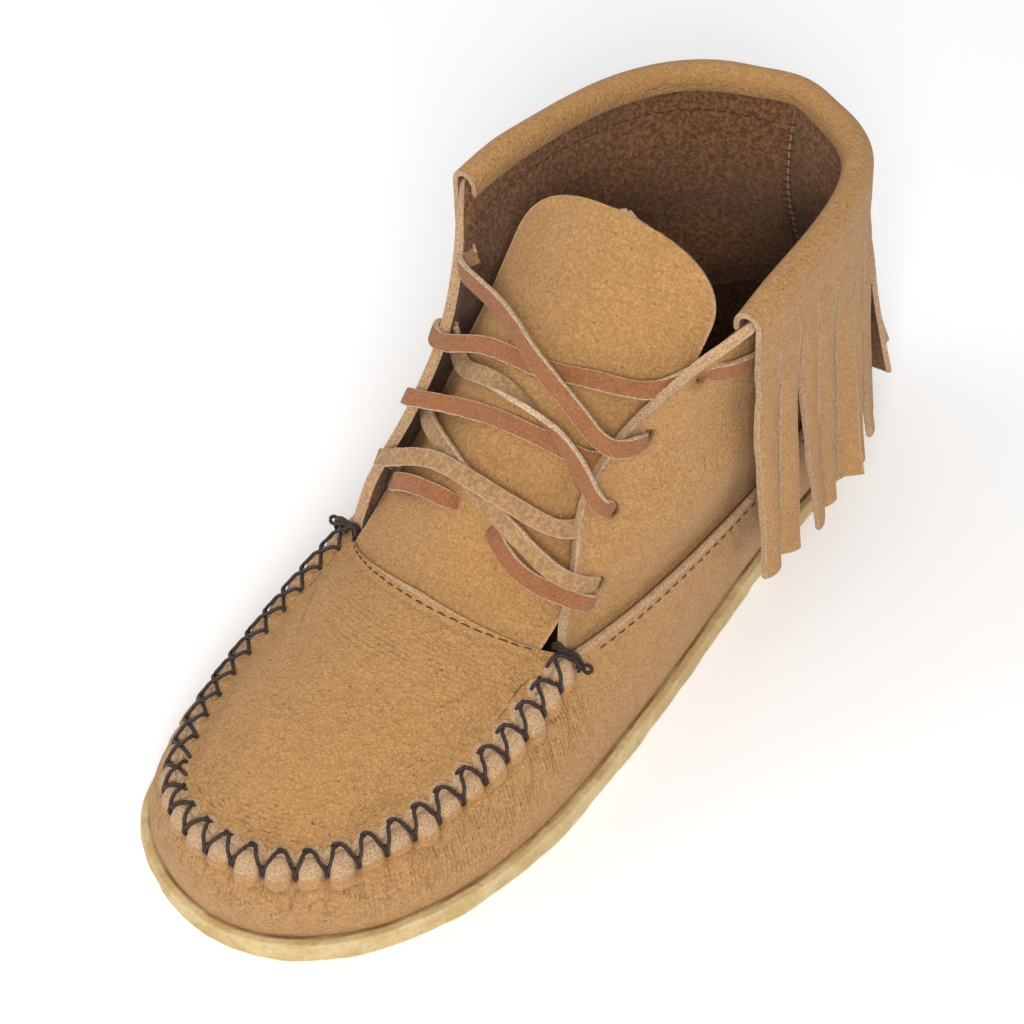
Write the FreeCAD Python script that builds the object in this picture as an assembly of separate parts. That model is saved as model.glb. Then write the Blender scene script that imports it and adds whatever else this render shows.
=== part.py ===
"""Left ankle-high moccasin: crepe sole, gathered leather upper, tongue, thong lace and fringed cuff.

Millimetres. The origin is on the ground under the middle of the sole. The toe points to -Y, the outer
(lateral) side is +X and +Z is up.
"""
import FreeCAD, Part
import math
import os

Vector = FreeCAD.Vector

# Overall sizes of the shoe
SOLE_LENGTH = 260.0
BALL_WIDTH = 95.0
RIM_HEIGHT = 113.0

# Sole and footbed
SOLE_THICKNESS = 6.0
SOLE_LEDGE = 2.8
FOAM_THICKNESS = 3.0
COVER_THICKNESS = 1.2
FOOTBED_CLEARANCE = 1.5

# Leather and the gaps between layers that lie on each other
WRAP_LEATHER = 1.8
QUARTER_LEATHER = 1.6
PLUG_LEATHER = 1.8
TONGUE_LEATHER = 1.6
CUFF_LEATHER = 1.5
LAYER_GAP = 0.4
TUCK_GAP = 1.2
SEAM_LAP = 9.0

# Toe seam
WALL_BULGE = 2.5
SEAM_RISE = 2.2
PLUG_TOE_DROP = 33.0
PLUG_BACK_DROP = 22.0
CROSS_STITCHES = 30
STITCH_SPAN = 4.2
STITCH_DROP = 3.4
STITCH_OVERHANG = 1.5
THREAD = 1.1
KNOT_TURNS = 4
KNOT_SPACING = 1.2

# Tongue
TONGUE_WIDTH = 62.0
TONGUE_TIP_HEIGHT = 127.0
TONGUE_LEAN = 5.5
TONGUE_SEAM_HALF = 34.0
TONGUE_SEAM_DEPTH = 14.0
TIP_ROUND = 18.0
TIP_SQUARENESS = 2.5
TIP_STRAIGHT = 14.0
FOLD_HEIGHT = 75.0
FOLD_GAP = 0.6
SLIT_TURN = 44.0

# Cuff and fringe
ROLL_DIAMETER = 8.0
ROLL_INNER_LEG = 2.0
BAND_DROP = 14.0
FRINGE_LENGTH = 88.0
STRANDS = 22
STRAND_GAP = 1.0
TIP_SKEW = 3.0
STRAND_HINGE_GAP = 0.8
FRINGE_FLARE = 3.0
HEEL_CLEARANCE = 1.6

# Lace
THONG_WIDTH = 5.0
THONG_THICKNESS = 1.7
LACE_HOLES = 4
LACE_HOLE_RADIUS = 3.0
LACE_HOLE_INSET = 9.0
FIRST_HOLE_RISE = 15.0
LACE_HOLE_PITCH = 20.0

# Machine stitches
MACHINE_THREAD = 0.7
MACHINE_PITCH = 3.4
SEAM_MARGIN = 3.0

# Shares of the wall's height at its rows of places
WALL_ROWS = (0.0, 0.2, 0.4, 0.6, 0.8, 1.0)

HALF_LENGTH = SOLE_LENGTH / 2
HALF_WIDTH = BALL_WIDTH / 2


def last(x, y, z=0.0):
    """A place given as shares of the half width, half length and rim height."""
    return Vector(x * HALF_WIDTH, y * HALF_LENGTH, z * RIM_HEIGHT)


def curve_through(points, count):
    """Evenly spaced places along a smooth curve through a few points."""
    curve = Part.BSplineCurve()
    curve.interpolate(points)
    return curve.toShape().discretize(Number=count)


def blend(a, b, share):
    return a + (b - a) * share


def normals(grid):
    """Unit normals of a grid of places, from its neighbours, along rows x columns."""
    rows = len(grid)
    columns = len(grid[0])
    result = []
    for i in range(rows):
        line = []
        for j in range(columns):
            along = grid[i][min(j + 1, columns - 1)] - grid[i][max(j - 1, 0)]
            across = grid[min(i + 1, rows - 1)][j] - grid[max(i - 1, 0)][j]
            normal = along.cross(across)
            normal.normalize()
            line.append(normal)
        result.append(line)
    return result


def offset(grid, distance):
    """The grid moved by a distance along its own normals."""
    moved = []
    for line, directions in zip(grid, normals(grid)):
        moved.append([p + n * distance for p, n in zip(line, directions)])
    return moved


def surface(grid):
    result = Part.BSplineSurface()
    result.interpolate(grid)
    return result


def thick_sheet(front, back):
    """A closed solid between two grids of the same size."""
    faces = [surface(front).toShape(), surface(back).toShape()]
    for edge in ("first row", "last row", "first column", "last column"):
        pair = [Part.Wire([border(grid, edge)]) for grid in (front, back)]
        faces += Part.makeLoft(pair, False, True).Faces
    shell = Part.makeShell(faces)
    shell.sewShape()
    solid = Part.Solid(Part.Shell(shell.Faces))
    if solid.Volume < 0:
        solid.reverse()
    return solid


def border(grid, edge):
    """One border curve of the surface through a grid."""
    whole = surface(grid)
    u0, u1, v0, v1 = whole.bounds()
    if edge == "first row":
        return whole.uIso(u0).toShape()
    if edge == "last row":
        return whole.uIso(u1).toShape()
    if edge == "first column":
        return whole.vIso(v0).toShape()
    return whole.vIso(v1).toShape()


# Half outlines of the sole from the toe's centre to the heel's centre, as shares of half width and half length
LATERAL_SOLE = [(0.0, -1.0), (0.22, -0.985), (0.43, -0.948), (0.76, -0.83), (0.945, -0.69), (1.055, -0.46),
                (1.0, -0.16), (0.875, 0.15), (0.745, 0.43), (0.68, 0.66), (0.58, 0.84), (0.34, 0.965), (0.0, 1.0)]
MEDIAL_SOLE = [(0.0, -1.0), (-0.22, -0.99), (-0.44, -0.965), (-0.79, -0.87), (-0.93, -0.72), (-0.95, -0.48),
               (-0.83, -0.16), (-0.735, 0.15), (-0.69, 0.43), (-0.67, 0.66), (-0.57, 0.84), (-0.34, 0.965),
               (0.0, 1.0)]
# Toe seam from the toe's centre to the foot of the facing, as (x, y)
TOE_SEAM = [(0.0, -0.952), (0.22, -0.938), (0.42, -0.90), (0.645, -0.785), (0.765, -0.64), (0.825, -0.44),
            (0.82, -0.32), (0.80, -0.235)]
# Raw edge of the side wall over the quarters, from the foot of the facing to the heel, as (x, y, z)
QUARTER_SEAM = [(0.83, -0.13, 0.366), (0.86, -0.03, 0.372), (0.877, 0.17, 0.384), (0.857, 0.36, 0.394),
                (0.785, 0.545, 0.40), (0.68, 0.71, 0.402), (0.545, 0.835, 0.402), (0.30, 0.93, 0.402),
                (0.0, 0.958, 0.402)]
# Height of the plug along its middle, from the toe to the tongue seam, as (y, z)
PLUG_RIDGE = [(-1.0, 0.20), (-0.945, 0.262), (-0.86, 0.318), (-0.72, 0.372), (-0.55, 0.415), (-0.342, 0.469),
              (-0.15, 0.51)]
# Levels of a quarter above the side wall, each from the facing's edge to the back seam, as (x, y, z)
QUARTER_LEVELS = (
    ((0.655, -0.175, 0.53), (0.83, 0.0, 0.53), (0.875, 0.25, 0.53), (0.75, 0.58, 0.54), (0.46, 0.845, 0.54),
     (0.0, 0.91, 0.54)),
    ((0.585, -0.10, 0.68), (0.80, 0.10, 0.68), (0.86, 0.33, 0.69), (0.77, 0.58, 0.70), (0.49, 0.805, 0.70),
     (0.0, 0.872, 0.70)),
    ((0.665, 0.045, 0.83), (0.84, 0.20, 0.83), (0.88, 0.38, 0.85), (0.80, 0.60, 0.85), (0.52, 0.79, 0.85),
     (0.0, 0.868, 0.85)),
    ((0.965, 0.235, 1.0), (0.95, 0.33, 1.015), (0.915, 0.435, 1.02), (0.82, 0.62, 1.015), (0.55, 0.80, 1.0),
     (0.0, 0.89, 0.995)),
)
# Runs of the thong over the instep. A lace hole is written as its side and its number from the toe. Each run
# follows a straight line between two holes, and its places are written as (share of that line, millimetres
# forward, millimetres up). The last word says at which of the two holes the thong really goes through.
LACE_RUNS = (
    ((-1, 3), (1, 2), ((0.05, 3.3, 2.7), (0.34, 10.3, 11.1), (0.604, 13.8, 11.7), (0.816, 12.9, 6.9),
                       (0.974, 9.7, 2.7)), "both"),
    ((1, 3), (-1, 2), ((0.099, 7.1, 0.3), (0.271, 11.7, 3.4), (0.482, 13.1, 4.9), (0.746, 10.5, 5.8),
                       (0.944, 8.2, 2.3)), "both"),
    ((-1, 2), (1, 1), ((0.104, 1.4, -1.7), (0.384, 6.2, 10.4), (0.671, 5.9, 15.6), (0.879, 4.9, 12.3),
                       (1.008, 5.1, 6.9)), "both"),
    ((1, 2), (-1, 1), ((0.101, 8.0, -2.4), (0.231, 10.3, 1.6), (0.404, 9.6, 5.1), (0.701, 7.6, 7.0),
                       (0.961, 5.6, 5.5)), "both"),
    ((-1, 1), (1, 0), ((0.179, 5.6, 6.3), (0.388, 10.2, 10.2), (0.615, 12.7, 10.7), (0.788, 12.1, 9.2),
                       (0.953, 9.4, 6.4)), "both"),
    ((1, 1), (-1, 0), ((0.073, 9.1, -0.9), (0.226, 13.3, 5.9), (0.447, 13.4, 13.1), (0.642, 10.6, 14.5),
                       (0.943, 5.4, 6.3)), "both"),
    ((-1, 0), (1, 0), ((0.109, 5.5, 1.7), (0.17, 9.1, 6.8), (0.307, 10.4, 12.0), (0.454, 9.3, 12.2)), "first"),
    ((-1, 0), (1, 0), ((0.65, 9.9, 11.2), (0.806, 14.8, 7.8), (0.948, 16.3, 3.0), (1.05, 13.1, 0.0)), "none"),
)
# Middle line of the tongue above its seam, as (y, z), with its half width and the radius of its crown
TONGUE_ROWS = (
    (-0.20, 0.600, 1.03, 30.9),
    (-0.05, 0.770, 0.98, 29.3),
    (0.10, 0.945, 1.0, 36.9),
    (0.26, 1.130, 1.0, 67.7),
)
# Direction out of the instep and direction up along it
INSTEP = Vector(0, -0.7, 0.714)
RISE = Vector(0, 0.714, 0.7)
# Ends of the line along the middle of the shoe that the wall bulges away from, as shares of the half length
SPINE = (-0.62, 0.72)
# Height of the lap inside the side wall, as a multiple of its length along the slanting wall
LAP_SLANT = 2.6
# Drop of the row of stitches below the wall's edge, as a multiple of its margin along the slanting wall
MARGIN_SLANT = 3.0

COLUMNS = 49
SEAM_COLUMNS = 17
QUARTER_ROWS = 15
QUARTER_COLUMNS = 29
CUFF_COLUMNS = 33
TONGUE_COLUMNS = 9
TONGUE_GRID_ROWS = 14
HEEL_SEAM_GAP = 0.4
LACE_HEEL_ROW = 10
CUFF_SEAM_ROW = 11
BACK_STITCHES = 14
TIP_STEPS = 12
LACE_STEPS = 24
HEEL_LACE_STEPS = 60


def outline(side_points, inset, height):
    """Half of the sole's outline moved inwards, from toe to heel, at a height."""
    places = curve_through([last(x, y) for x, y in side_points], COLUMNS)
    turn = 1 if side_points is LATERAL_SOLE else -1
    result = []
    for i, place in enumerate(places):
        along = places[min(i + 1, COLUMNS - 1)] - places[max(i - 1, 0)]
        inward = Vector(-along.y, along.x, 0) * turn
        if i in (0, COLUMNS - 1):
            inward = Vector(0, -place.y, 0)
        inward.normalize()
        moved = place + inward * inset
        result.append(Vector(moved.x, moved.y, height))
    return result


def slab(inset, low, thickness):
    """A flat layer with the sole's outline moved inwards."""
    lateral = outline(LATERAL_SOLE, inset, low)
    medial = outline(MEDIAL_SOLE, inset, low)
    ring = (lateral + medial[-2:0:-1])[::3]
    curve = Part.BSplineCurve()
    curve.interpolate(ring, PeriodicFlag=True)
    face = Part.Face(Part.Wire([curve.toShape()]))
    return face.extrude(Vector(0, 0, thickness))


def plug_height(x, y):
    """Height of the plug's smooth face over a place, from its ridge line and its crown."""
    ridge = [(share_y * HALF_LENGTH, share_z * RIM_HEIGHT) for share_y, share_z in PLUG_RIDGE]
    middle = ridge[-1][1]
    for (y0, z0), (y1, z1) in zip(ridge, ridge[1:]):
        if y < y1:
            middle = z0 + (z1 - z0) * (y - y0) / (y1 - y0)
            break
    toe_share = max(0.0, min(1.0, -y / HALF_LENGTH))
    drop = PLUG_BACK_DROP + (PLUG_TOE_DROP - PLUG_BACK_DROP) * toe_share
    return middle - drop * (x / HALF_WIDTH) ** 2


def wall_top(sign):
    """Top edge of one half of the side wall: the toe seam, then the raw edge over the quarter."""
    seam = []
    for share_x, share_y in TOE_SEAM:
        place = last(sign * share_x, share_y)
        seam.append(Vector(place.x, place.y, plug_height(place.x, place.y) + SEAM_RISE))
    back = [last(sign * x, y, z) for x, y, z in QUARTER_SEAM]
    toe_part = curve_through(seam, SEAM_COLUMNS)
    side_part = curve_through([seam[-1]] + back, COLUMNS - SEAM_COLUMNS + 1)
    return toe_part + side_part[1:]


def wall_foot(sign):
    """Foot of one half of the side wall, with the same share of places before and after the facing."""
    foot = outline(LATERAL_SOLE if sign > 0 else MEDIAL_SOLE, SOLE_LEDGE, SOLE_THICKNESS)
    facing = last(0, TOE_SEAM[-1][1]).y
    ahead = [p for p in foot if p.y < facing]
    behind = [p for p in foot if p.y >= facing]
    toe_part = curve_through(ahead + behind[:1], SEAM_COLUMNS)
    side_part = curve_through(behind, COLUMNS - SEAM_COLUMNS + 1)
    return toe_part + side_part[1:]


def wall_half(sign, rows=WALL_ROWS):
    """Outer face of one half of the side wall: rows from sole to top, columns from toe to heel."""
    grid = []
    for share in rows:
        line = []
        for low, high in zip(wall_foot(sign), wall_top(sign)):
            bulge = away_from_middle(low) * (WALL_BULGE * 4 * share * (1 - share))
            line.append(blend(low, high, share) + bulge)
        grid.append(line)
    return grid


def away_from_middle(place):
    """Level direction away from the shoe's middle line."""
    spine = max(SPINE[0] * HALF_LENGTH, min(SPINE[1] * HALF_LENGTH, place.y))
    away = Vector(place.x, place.y - spine, 0)
    away.normalize()
    return away


def whole_wall(depth=0.0):
    """A face of the side wall, from the heel along the medial side, round the toe and back to the heel."""
    lines = [medial[::-1] + lateral[1:] for medial, lateral in zip(wall_half(-1), wall_half(1))]
    return squared(squared(offset(lines, -depth), 0, -HEEL_SEAM_GAP / 2), -1, HEEL_SEAM_GAP / 2)


def squared(grid, column, x):
    """The grid with one end column brought into the plane of the heel seam."""
    for line in grid:
        line[column] = Vector(x, line[column].y, line[column].z)
    return grid


def make_wrap():
    """Bottom and side wall cut from one piece of leather, closed by a seam at the heel."""
    wall = thick_sheet(whole_wall(), whole_wall(WRAP_LEATHER))
    bottom = slab(SOLE_LEDGE + WRAP_LEATHER / 2, SOLE_THICKNESS, WRAP_LEATHER)
    return wall.fuse(bottom)


def seam_arc(x):
    """Plan line of the plug's back edge, an arc across the instep."""
    radius = (TONGUE_SEAM_HALF ** 2 + TONGUE_SEAM_DEPTH ** 2) / (2 * TONGUE_SEAM_DEPTH)
    middle = last(0, PLUG_RIDGE[-2][0]).y
    return middle + radius - math.sqrt(radius ** 2 - x ** 2)


def make_plug():
    """Plug over the toes: a domed sheet cut to the toe seam and to the arc of the tongue seam."""
    rows = 21
    columns = 15
    back = seam_arc(TONGUE_SEAM_HALF) + SEAM_LAP
    grid = []
    for i in range(rows):
        y = -HALF_LENGTH + (back + HALF_LENGTH) * i / (rows - 1)
        line = []
        for j in range(columns):
            x = HALF_WIDTH * (2 * j / (columns - 1) - 1)
            line.append(Vector(x, y, plug_height(x, y)))
        grid.append(line)
    blank = thick_sheet(grid, lowered(grid, PLUG_LEATHER))
    lateral = inner_seam_line(1)
    medial = inner_seam_line(-1)
    edge = medial[::-1] + lateral[1:]
    reach = min(abs(edge[0].x), TONGUE_SEAM_HALF)
    arc = [Vector(reach * (1 - 2 * k / 8), seam_arc(reach * (1 - 2 * k / 8)), 0) for k in range(9)]
    front = Part.BSplineCurve()
    front.interpolate(edge)
    rear = Part.BSplineCurve()
    rear.interpolate(arc)
    sides = [Part.makeLine(edge[-1], arc[0]), Part.makeLine(arc[-1], edge[0])]
    wire = Part.Wire([front.toShape(), sides[0], rear.toShape(), sides[1]])
    prism = Part.Face(wire).extrude(Vector(0, 0, RIM_HEIGHT))
    return blank.common(prism)


def inner_seam_line(sign):
    """Plan line just inside the side wall's leather along the toe seam."""
    top = wall_top(sign)[:SEAM_COLUMNS]
    inset = WRAP_LEATHER + LAYER_GAP
    result = []
    for i, place in enumerate(top):
        along = top[min(i + 1, len(top) - 1)] - top[max(i - 1, 0)]
        inward = Vector(-along.y, along.x, 0) * sign
        if i == 0:
            inward = Vector(0, 1, 0)
        inward.normalize()
        moved = place + inward * inset
        result.append(Vector(moved.x, moved.y, 0))
    return result


def lowered(grid, distance):
    return [[p - Vector(0, 0, distance) for p in line] for line in grid]


def quarter_grid(sign):
    """Outer face of a quarter: rows from inside the side wall to the rim, columns from facing to back seam."""
    inset = WRAP_LEATHER + TUCK_GAP
    lap = SEAM_LAP / RIM_HEIGHT * LAP_SLANT
    wall = wall_half(sign, (1 - lap, 1 - lap / 2, 1.0))
    tucked = offset(wall, -inset * sign)
    rows = [curve_through(line[SEAM_COLUMNS - 1:], QUARTER_COLUMNS) for line in tucked]
    for level in QUARTER_LEVELS:
        rows.append(curve_through([last(sign * x, y, z) for x, y, z in level], QUARTER_COLUMNS))
    columns = [curve_through([row[j] for row in rows], QUARTER_ROWS) for j in range(QUARTER_COLUMNS)]
    grid = [[columns[j][i] for j in range(QUARTER_COLUMNS)] for i in range(QUARTER_ROWS)]
    return squared(grid, -1, sign * HEEL_SEAM_GAP / 2)


def lace_holes(sign):
    """Places and directions of the lace holes, at even steps up the facing and a fixed way in from its edge."""
    grid = quarter_grid(sign)
    directions = normals(grid)
    edge = [line[0] for line in grid]
    risen = [0.0]
    for a, b in zip(edge, edge[1:]):
        risen.append(risen[-1] + (b - a).Length)
    holes = []
    for k in range(LACE_HOLES):
        wanted = SEAM_LAP + FIRST_HOLE_RISE + k * LACE_HOLE_PITCH
        row = min(range(len(risen)), key=lambda i: abs(risen[i] - wanted))
        slide = (wanted - risen[row]) / (risen[-1] / (len(risen) - 1))
        near = inset_along(grid[row], LACE_HOLE_INSET)
        other = inset_along(grid[row + (1 if slide > 0 else -1)], LACE_HOLE_INSET)
        place = blend(near, other, abs(slide))
        holes.append((place, directions[row][1] * sign))
    return holes


def inset_along(line, distance):
    """The place a distance along a line of places."""
    walked = 0.0
    for a, b in zip(line, line[1:]):
        step = (b - a).Length
        if walked + step >= distance:
            return blend(a, b, (distance - walked) / step)
        walked += step
    return line[-1]


def make_quarter(sign):
    """One ankle side piece with its lace holes."""
    grid = quarter_grid(sign)
    inside = squared(offset(grid, -QUARTER_LEATHER * sign), -1, sign * HEEL_SEAM_GAP / 2)
    body = thick_sheet(grid, inside)
    for place, direction in lace_holes(sign):
        reach = 3 * QUARTER_LEATHER
        drill = Part.makeCylinder(LACE_HOLE_RADIUS, 2 * reach, place - direction * reach, direction)
        body = body.cut(drill)
    return body


def rim_frames(count):
    """Places along the quarters' top edge with the level directions along and away from the rim."""
    lateral = quarter_grid(1)[-1][:-1:4]
    medial = quarter_grid(-1)[-1][:-1:4]
    path = curve_through(lateral + [last(*QUARTER_LEVELS[-1][-1])] + medial[::-1], count)
    frames = []
    for i, place in enumerate(path):
        along = path[min(i + 1, len(path) - 1)] - path[max(i - 1, 0)]
        along.z = 0
        along.normalize()
        away = along.cross(Vector(0, 0, 1))
        middle = place - away * (QUARTER_LEATHER / 2)
        frames.append((middle, along, away))
    return frames


def cuff_profile(radius):
    """Places (out, up) of the folded strip about the rim: inner leg, half round, outer leg, evenly spaced."""
    lengths = (ROLL_INNER_LEG, math.pi * radius, BAND_DROP)
    steps = 20
    result = []
    for k in range(steps + 1):
        walked = sum(lengths) * k / steps
        if walked < lengths[0]:
            result.append((-radius, walked - lengths[0]))
        elif walked < lengths[0] + lengths[1]:
            angle = math.pi * (walked - lengths[0]) / lengths[1]
            result.append((-radius * math.cos(angle), radius * math.sin(angle)))
        else:
            result.append((radius, -(walked - lengths[0] - lengths[1])))
    return result


def cuff_grid(radius):
    grid = []
    for out, up in cuff_profile(radius):
        grid.append([place + away * out + Vector(0, 0, up) for place, along, away in rim_frames(CUFF_COLUMNS)])
    return grid


def make_cuff():
    """The strip folded over the rim, down to where its strands are cut."""
    outer = ROLL_DIAMETER / 2
    return thick_sheet(cuff_grid(outer), cuff_grid(outer - CUFF_LEATHER))


def strand_places():
    """For each strand: its hinge place on the strip's outer face, the rim's directions, its width and slope."""
    frames = rim_frames(2 * STRANDS + 1)
    wall = [p for line in whole_wall() for p in line]
    places = []
    for k in range(STRANDS):
        middle, along, away = frames[2 * k + 1]
        width = (frames[2 * k + 2][0] - frames[2 * k][0]).Length - STRAND_GAP
        lowest = min(frames[2 * k + step][0].z for step in (0, 1, 2))
        hinge = middle + away * (ROLL_DIAMETER / 2)
        hinge.z = lowest - BAND_DROP - STRAND_HINGE_GAP / 2
        slope = FRINGE_FLARE / FRINGE_LENGTH
        for p in wall:
            way = p - hinge
            if abs(way.dot(along)) < 0.6 * width and way.z < -STRAND_GAP:
                needed = (way.dot(away) + HEEL_CLEARANCE + CUFF_LEATHER) / -way.z
                slope = max(slope, needed)
        places.append((hinge, along, away, width, slope))
    return places


def make_strand(hinge, along, away, width, slope):
    """One strand hanging from the cuff, cut slightly askew at its tip."""
    down = away * slope - Vector(0, 0, 1)
    down.normalize()
    inward = along.cross(down)
    if inward.dot(away) > 0:
        inward = inward * -1
    length = FRINGE_LENGTH - BAND_DROP - STRAND_HINGE_GAP
    top = hinge + down * (STRAND_HINGE_GAP / 2)
    half = along * (width / 2)
    corners = [top - half, top + half, top + half + down * length, top - half + down * (length - TIP_SKEW)]
    wire = Part.makePolygon(corners + corners[:1])
    return Part.Face(wire).extrude(inward * CUFF_LEATHER)


def tongue_grid():
    """Outer face of the tongue: rows from under the plug to above the tip, columns from medial to lateral."""
    columns = []
    for j in range(TONGUE_COLUMNS):
        share = 2 * j / (TONGUE_COLUMNS - 1) - 1
        x = share * (TONGUE_SEAM_HALF - LAYER_GAP)
        under = PLUG_LEATHER + LAYER_GAP
        edge = seam_arc(x)
        tucked = Vector(x, edge - SEAM_LAP, plug_height(x, edge - SEAM_LAP) - under)
        at_edge = Vector(x, edge, plug_height(x, edge) - under)
        line = [tucked, at_edge]
        for share_y, share_z, wide, crown in TONGUE_ROWS:
            middle = last(0, share_y, share_z)
            lean = TONGUE_LEAN * max(0.0, middle.z - FOLD_HEIGHT) / (TONGUE_TIP_HEIGHT - FOLD_HEIGHT)
            side = share * TONGUE_WIDTH / 2 * wide
            line.append(middle + Vector(side + lean, 0, 0) - INSTEP * crown_fall(side, crown))
        columns.append(curve_through(line, TONGUE_GRID_ROWS))
    return [[column[i] for column in columns] for i in range(TONGUE_GRID_ROWS)]


def crown_fall(side, crown):
    """How far a place to the side of the middle line lies below it on a crown of a radius."""
    return side ** 2 / (2 * crown)


def on_instep(height):
    """The place at a height on the straight line up the instep."""
    foot = last(0, TONGUE_ROWS[0][0], TONGUE_ROWS[0][1])
    return foot + RISE * ((height - foot.z) / RISE.z)


def tongue_trim(low, high):
    """A prism across the tongue between two heights, along the instep's direction."""
    half = TONGUE_WIDTH
    corners = []
    for x, height in ((-half, low), (half, low), (half, high), (-half, high)):
        corners.append(on_instep(height) + Vector(x, 0, 0) - INSTEP * RIM_HEIGHT)
    face = Part.Face(Part.makePolygon(corners + corners[:1]))
    return face.extrude(INSTEP * (2 * RIM_HEIGHT))


def tongue_tip():
    """A prism with the outline of the tongue's tip: a rounded end that grows squarer with its power."""
    half = TONGUE_WIDTH / 2
    tip = on_instep(TONGUE_TIP_HEIGHT) + Vector(TONGUE_LEAN, 0, 0)
    centre = tip - RISE * TIP_ROUND - INSTEP * RIM_HEIGHT
    side = Vector(half + TONGUE_LEAN, 0, 0)
    down = RISE * (2 * RIM_HEIGHT)
    left = centre - Vector(half, 0, 0)
    right = centre + Vector(half, 0, 0)
    outline_points = []
    for k in range(TIP_STEPS + 1):
        angle = math.pi * (1 - k / TIP_STEPS)
        across = math.copysign(abs(math.cos(angle)) ** (2 / TIP_SQUARENESS), math.cos(angle))
        along = abs(math.sin(angle)) ** (2 / TIP_SQUARENESS)
        outline_points.append(centre + Vector(half * across, 0, 0) + RISE * (TIP_ROUND * along))
    outline_points[0] = left
    outline_points[-1] = right
    end = Part.BSplineCurve()
    end.interpolate(outline_points)
    wire = Part.Wire([
        end.toShape(),
        Part.makeLine(right, right - RISE * TIP_STRAIGHT + side),
        Part.makeLine(right - RISE * TIP_STRAIGHT + side, right + side - down),
        Part.makeLine(right + side - down, left - side - down),
        Part.makeLine(left - side - down, left - RISE * TIP_STRAIGHT - side),
        Part.makeLine(left - RISE * TIP_STRAIGHT - side, left),
    ])
    return Part.Face(wire).extrude(INSTEP * (2 * RIM_HEIGHT))


def fold_place():
    """Middle of the tongue's hinge line, at the foot of its crown and behind its leather."""
    wide, crown = TONGUE_ROWS[0][2:]
    return on_instep(FOLD_HEIGHT) - INSTEP * (crown_fall(TONGUE_WIDTH / 2 * wide, crown) + TONGUE_LEATHER)


def make_tongue():
    """The tongue in its sewn lower part and its free upper part, either side of its fold."""
    grid = tongue_grid()
    blank = thick_sheet(grid, offset(grid, -TONGUE_LEATHER)).common(tongue_tip())
    root = blank.common(tongue_trim(0, FOLD_HEIGHT - FOLD_GAP / 2))
    flap = blank.common(tongue_trim(FOLD_HEIGHT + FOLD_GAP / 2, 2 * RIM_HEIGHT))
    return root, flap


def ribbon(points, faces, steps):
    """A flat thong along a smooth curve, its flat side turning between the given directions."""
    path = curve_through(points, steps)
    front = [[], [], []]
    back = [[], [], []]
    for i, place in enumerate(path):
        along = path[min(i + 1, steps - 1)] - path[max(i - 1, 0)]
        along.normalize()
        share = (len(faces) - 1) * i / (steps - 1)
        part = min(int(share), len(faces) - 2)
        face = blend(faces[part], faces[part + 1], share - part)
        across = face.cross(along)
        across.normalize()
        flat = along.cross(across)
        for row, reach in enumerate((-0.5, 0.0, 0.5)):
            edge = place + across * (THONG_WIDTH * reach)
            front[row].append(edge + flat * (THONG_THICKNESS / 2))
            back[row].append(edge - flat * (THONG_THICKNESS / 2))
    return thick_sheet(front, back)


def lace_over_instep():
    """The thong's runs over the tongue, each from the inside of one hole to the outside of the next."""
    holes = {1: lace_holes(1), -1: lace_holes(-1)}
    runs = []
    for start, end, offsets, joined in LACE_RUNS:
        points = run_places(holes, start, end, offsets)
        faces = [INSTEP, INSTEP]
        if joined in ("both", "first"):
            place, direction = holes[start[0]][start[1]]
            points.insert(0, place - direction * (QUARTER_LEATHER + LAYER_GAP + THONG_THICKNESS / 2))
            faces.insert(0, direction)
        if joined == "both":
            place, direction = holes[end[0]][end[1]]
            points.append(place + direction * THONG_THICKNESS)
            faces.append(direction)
        runs.append(ribbon(points, faces, LACE_STEPS))
    return runs


def run_places(holes, start, end, offsets):
    """Places of one run of the thong beside the straight line between its two holes."""
    first = holes[start[0]][start[1]][0]
    second = holes[end[0]][end[1]][0]
    return [blend(first, second, share) + Vector(0, -forward, up) for share, forward, up in offsets]


def lace_round_heel():
    """The thong's run under the fringe, flat against the quarters, from the top hole round the heel."""
    away = LAYER_GAP + THONG_THICKNESS / 2
    points = []
    faces = []
    for sign in (1, -1):
        grid = quarter_grid(sign)
        directions = normals(grid)
        row = LACE_HEEL_ROW
        side = []
        for j in range(4, QUARTER_COLUMNS - 2, 3):
            side.append((grid[row][j] + directions[row][j] * (away * sign), directions[row][j] * sign))
        side = side if sign > 0 else side[::-1]
        points += [place for place, face in side]
        faces += [face for place, face in side]
    return [ribbon(points, faces, HEEL_LACE_STEPS)]


def thread(a, b, radius):
    way = b - a
    return Part.makeCylinder(radius, way.Length, a, way)


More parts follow.
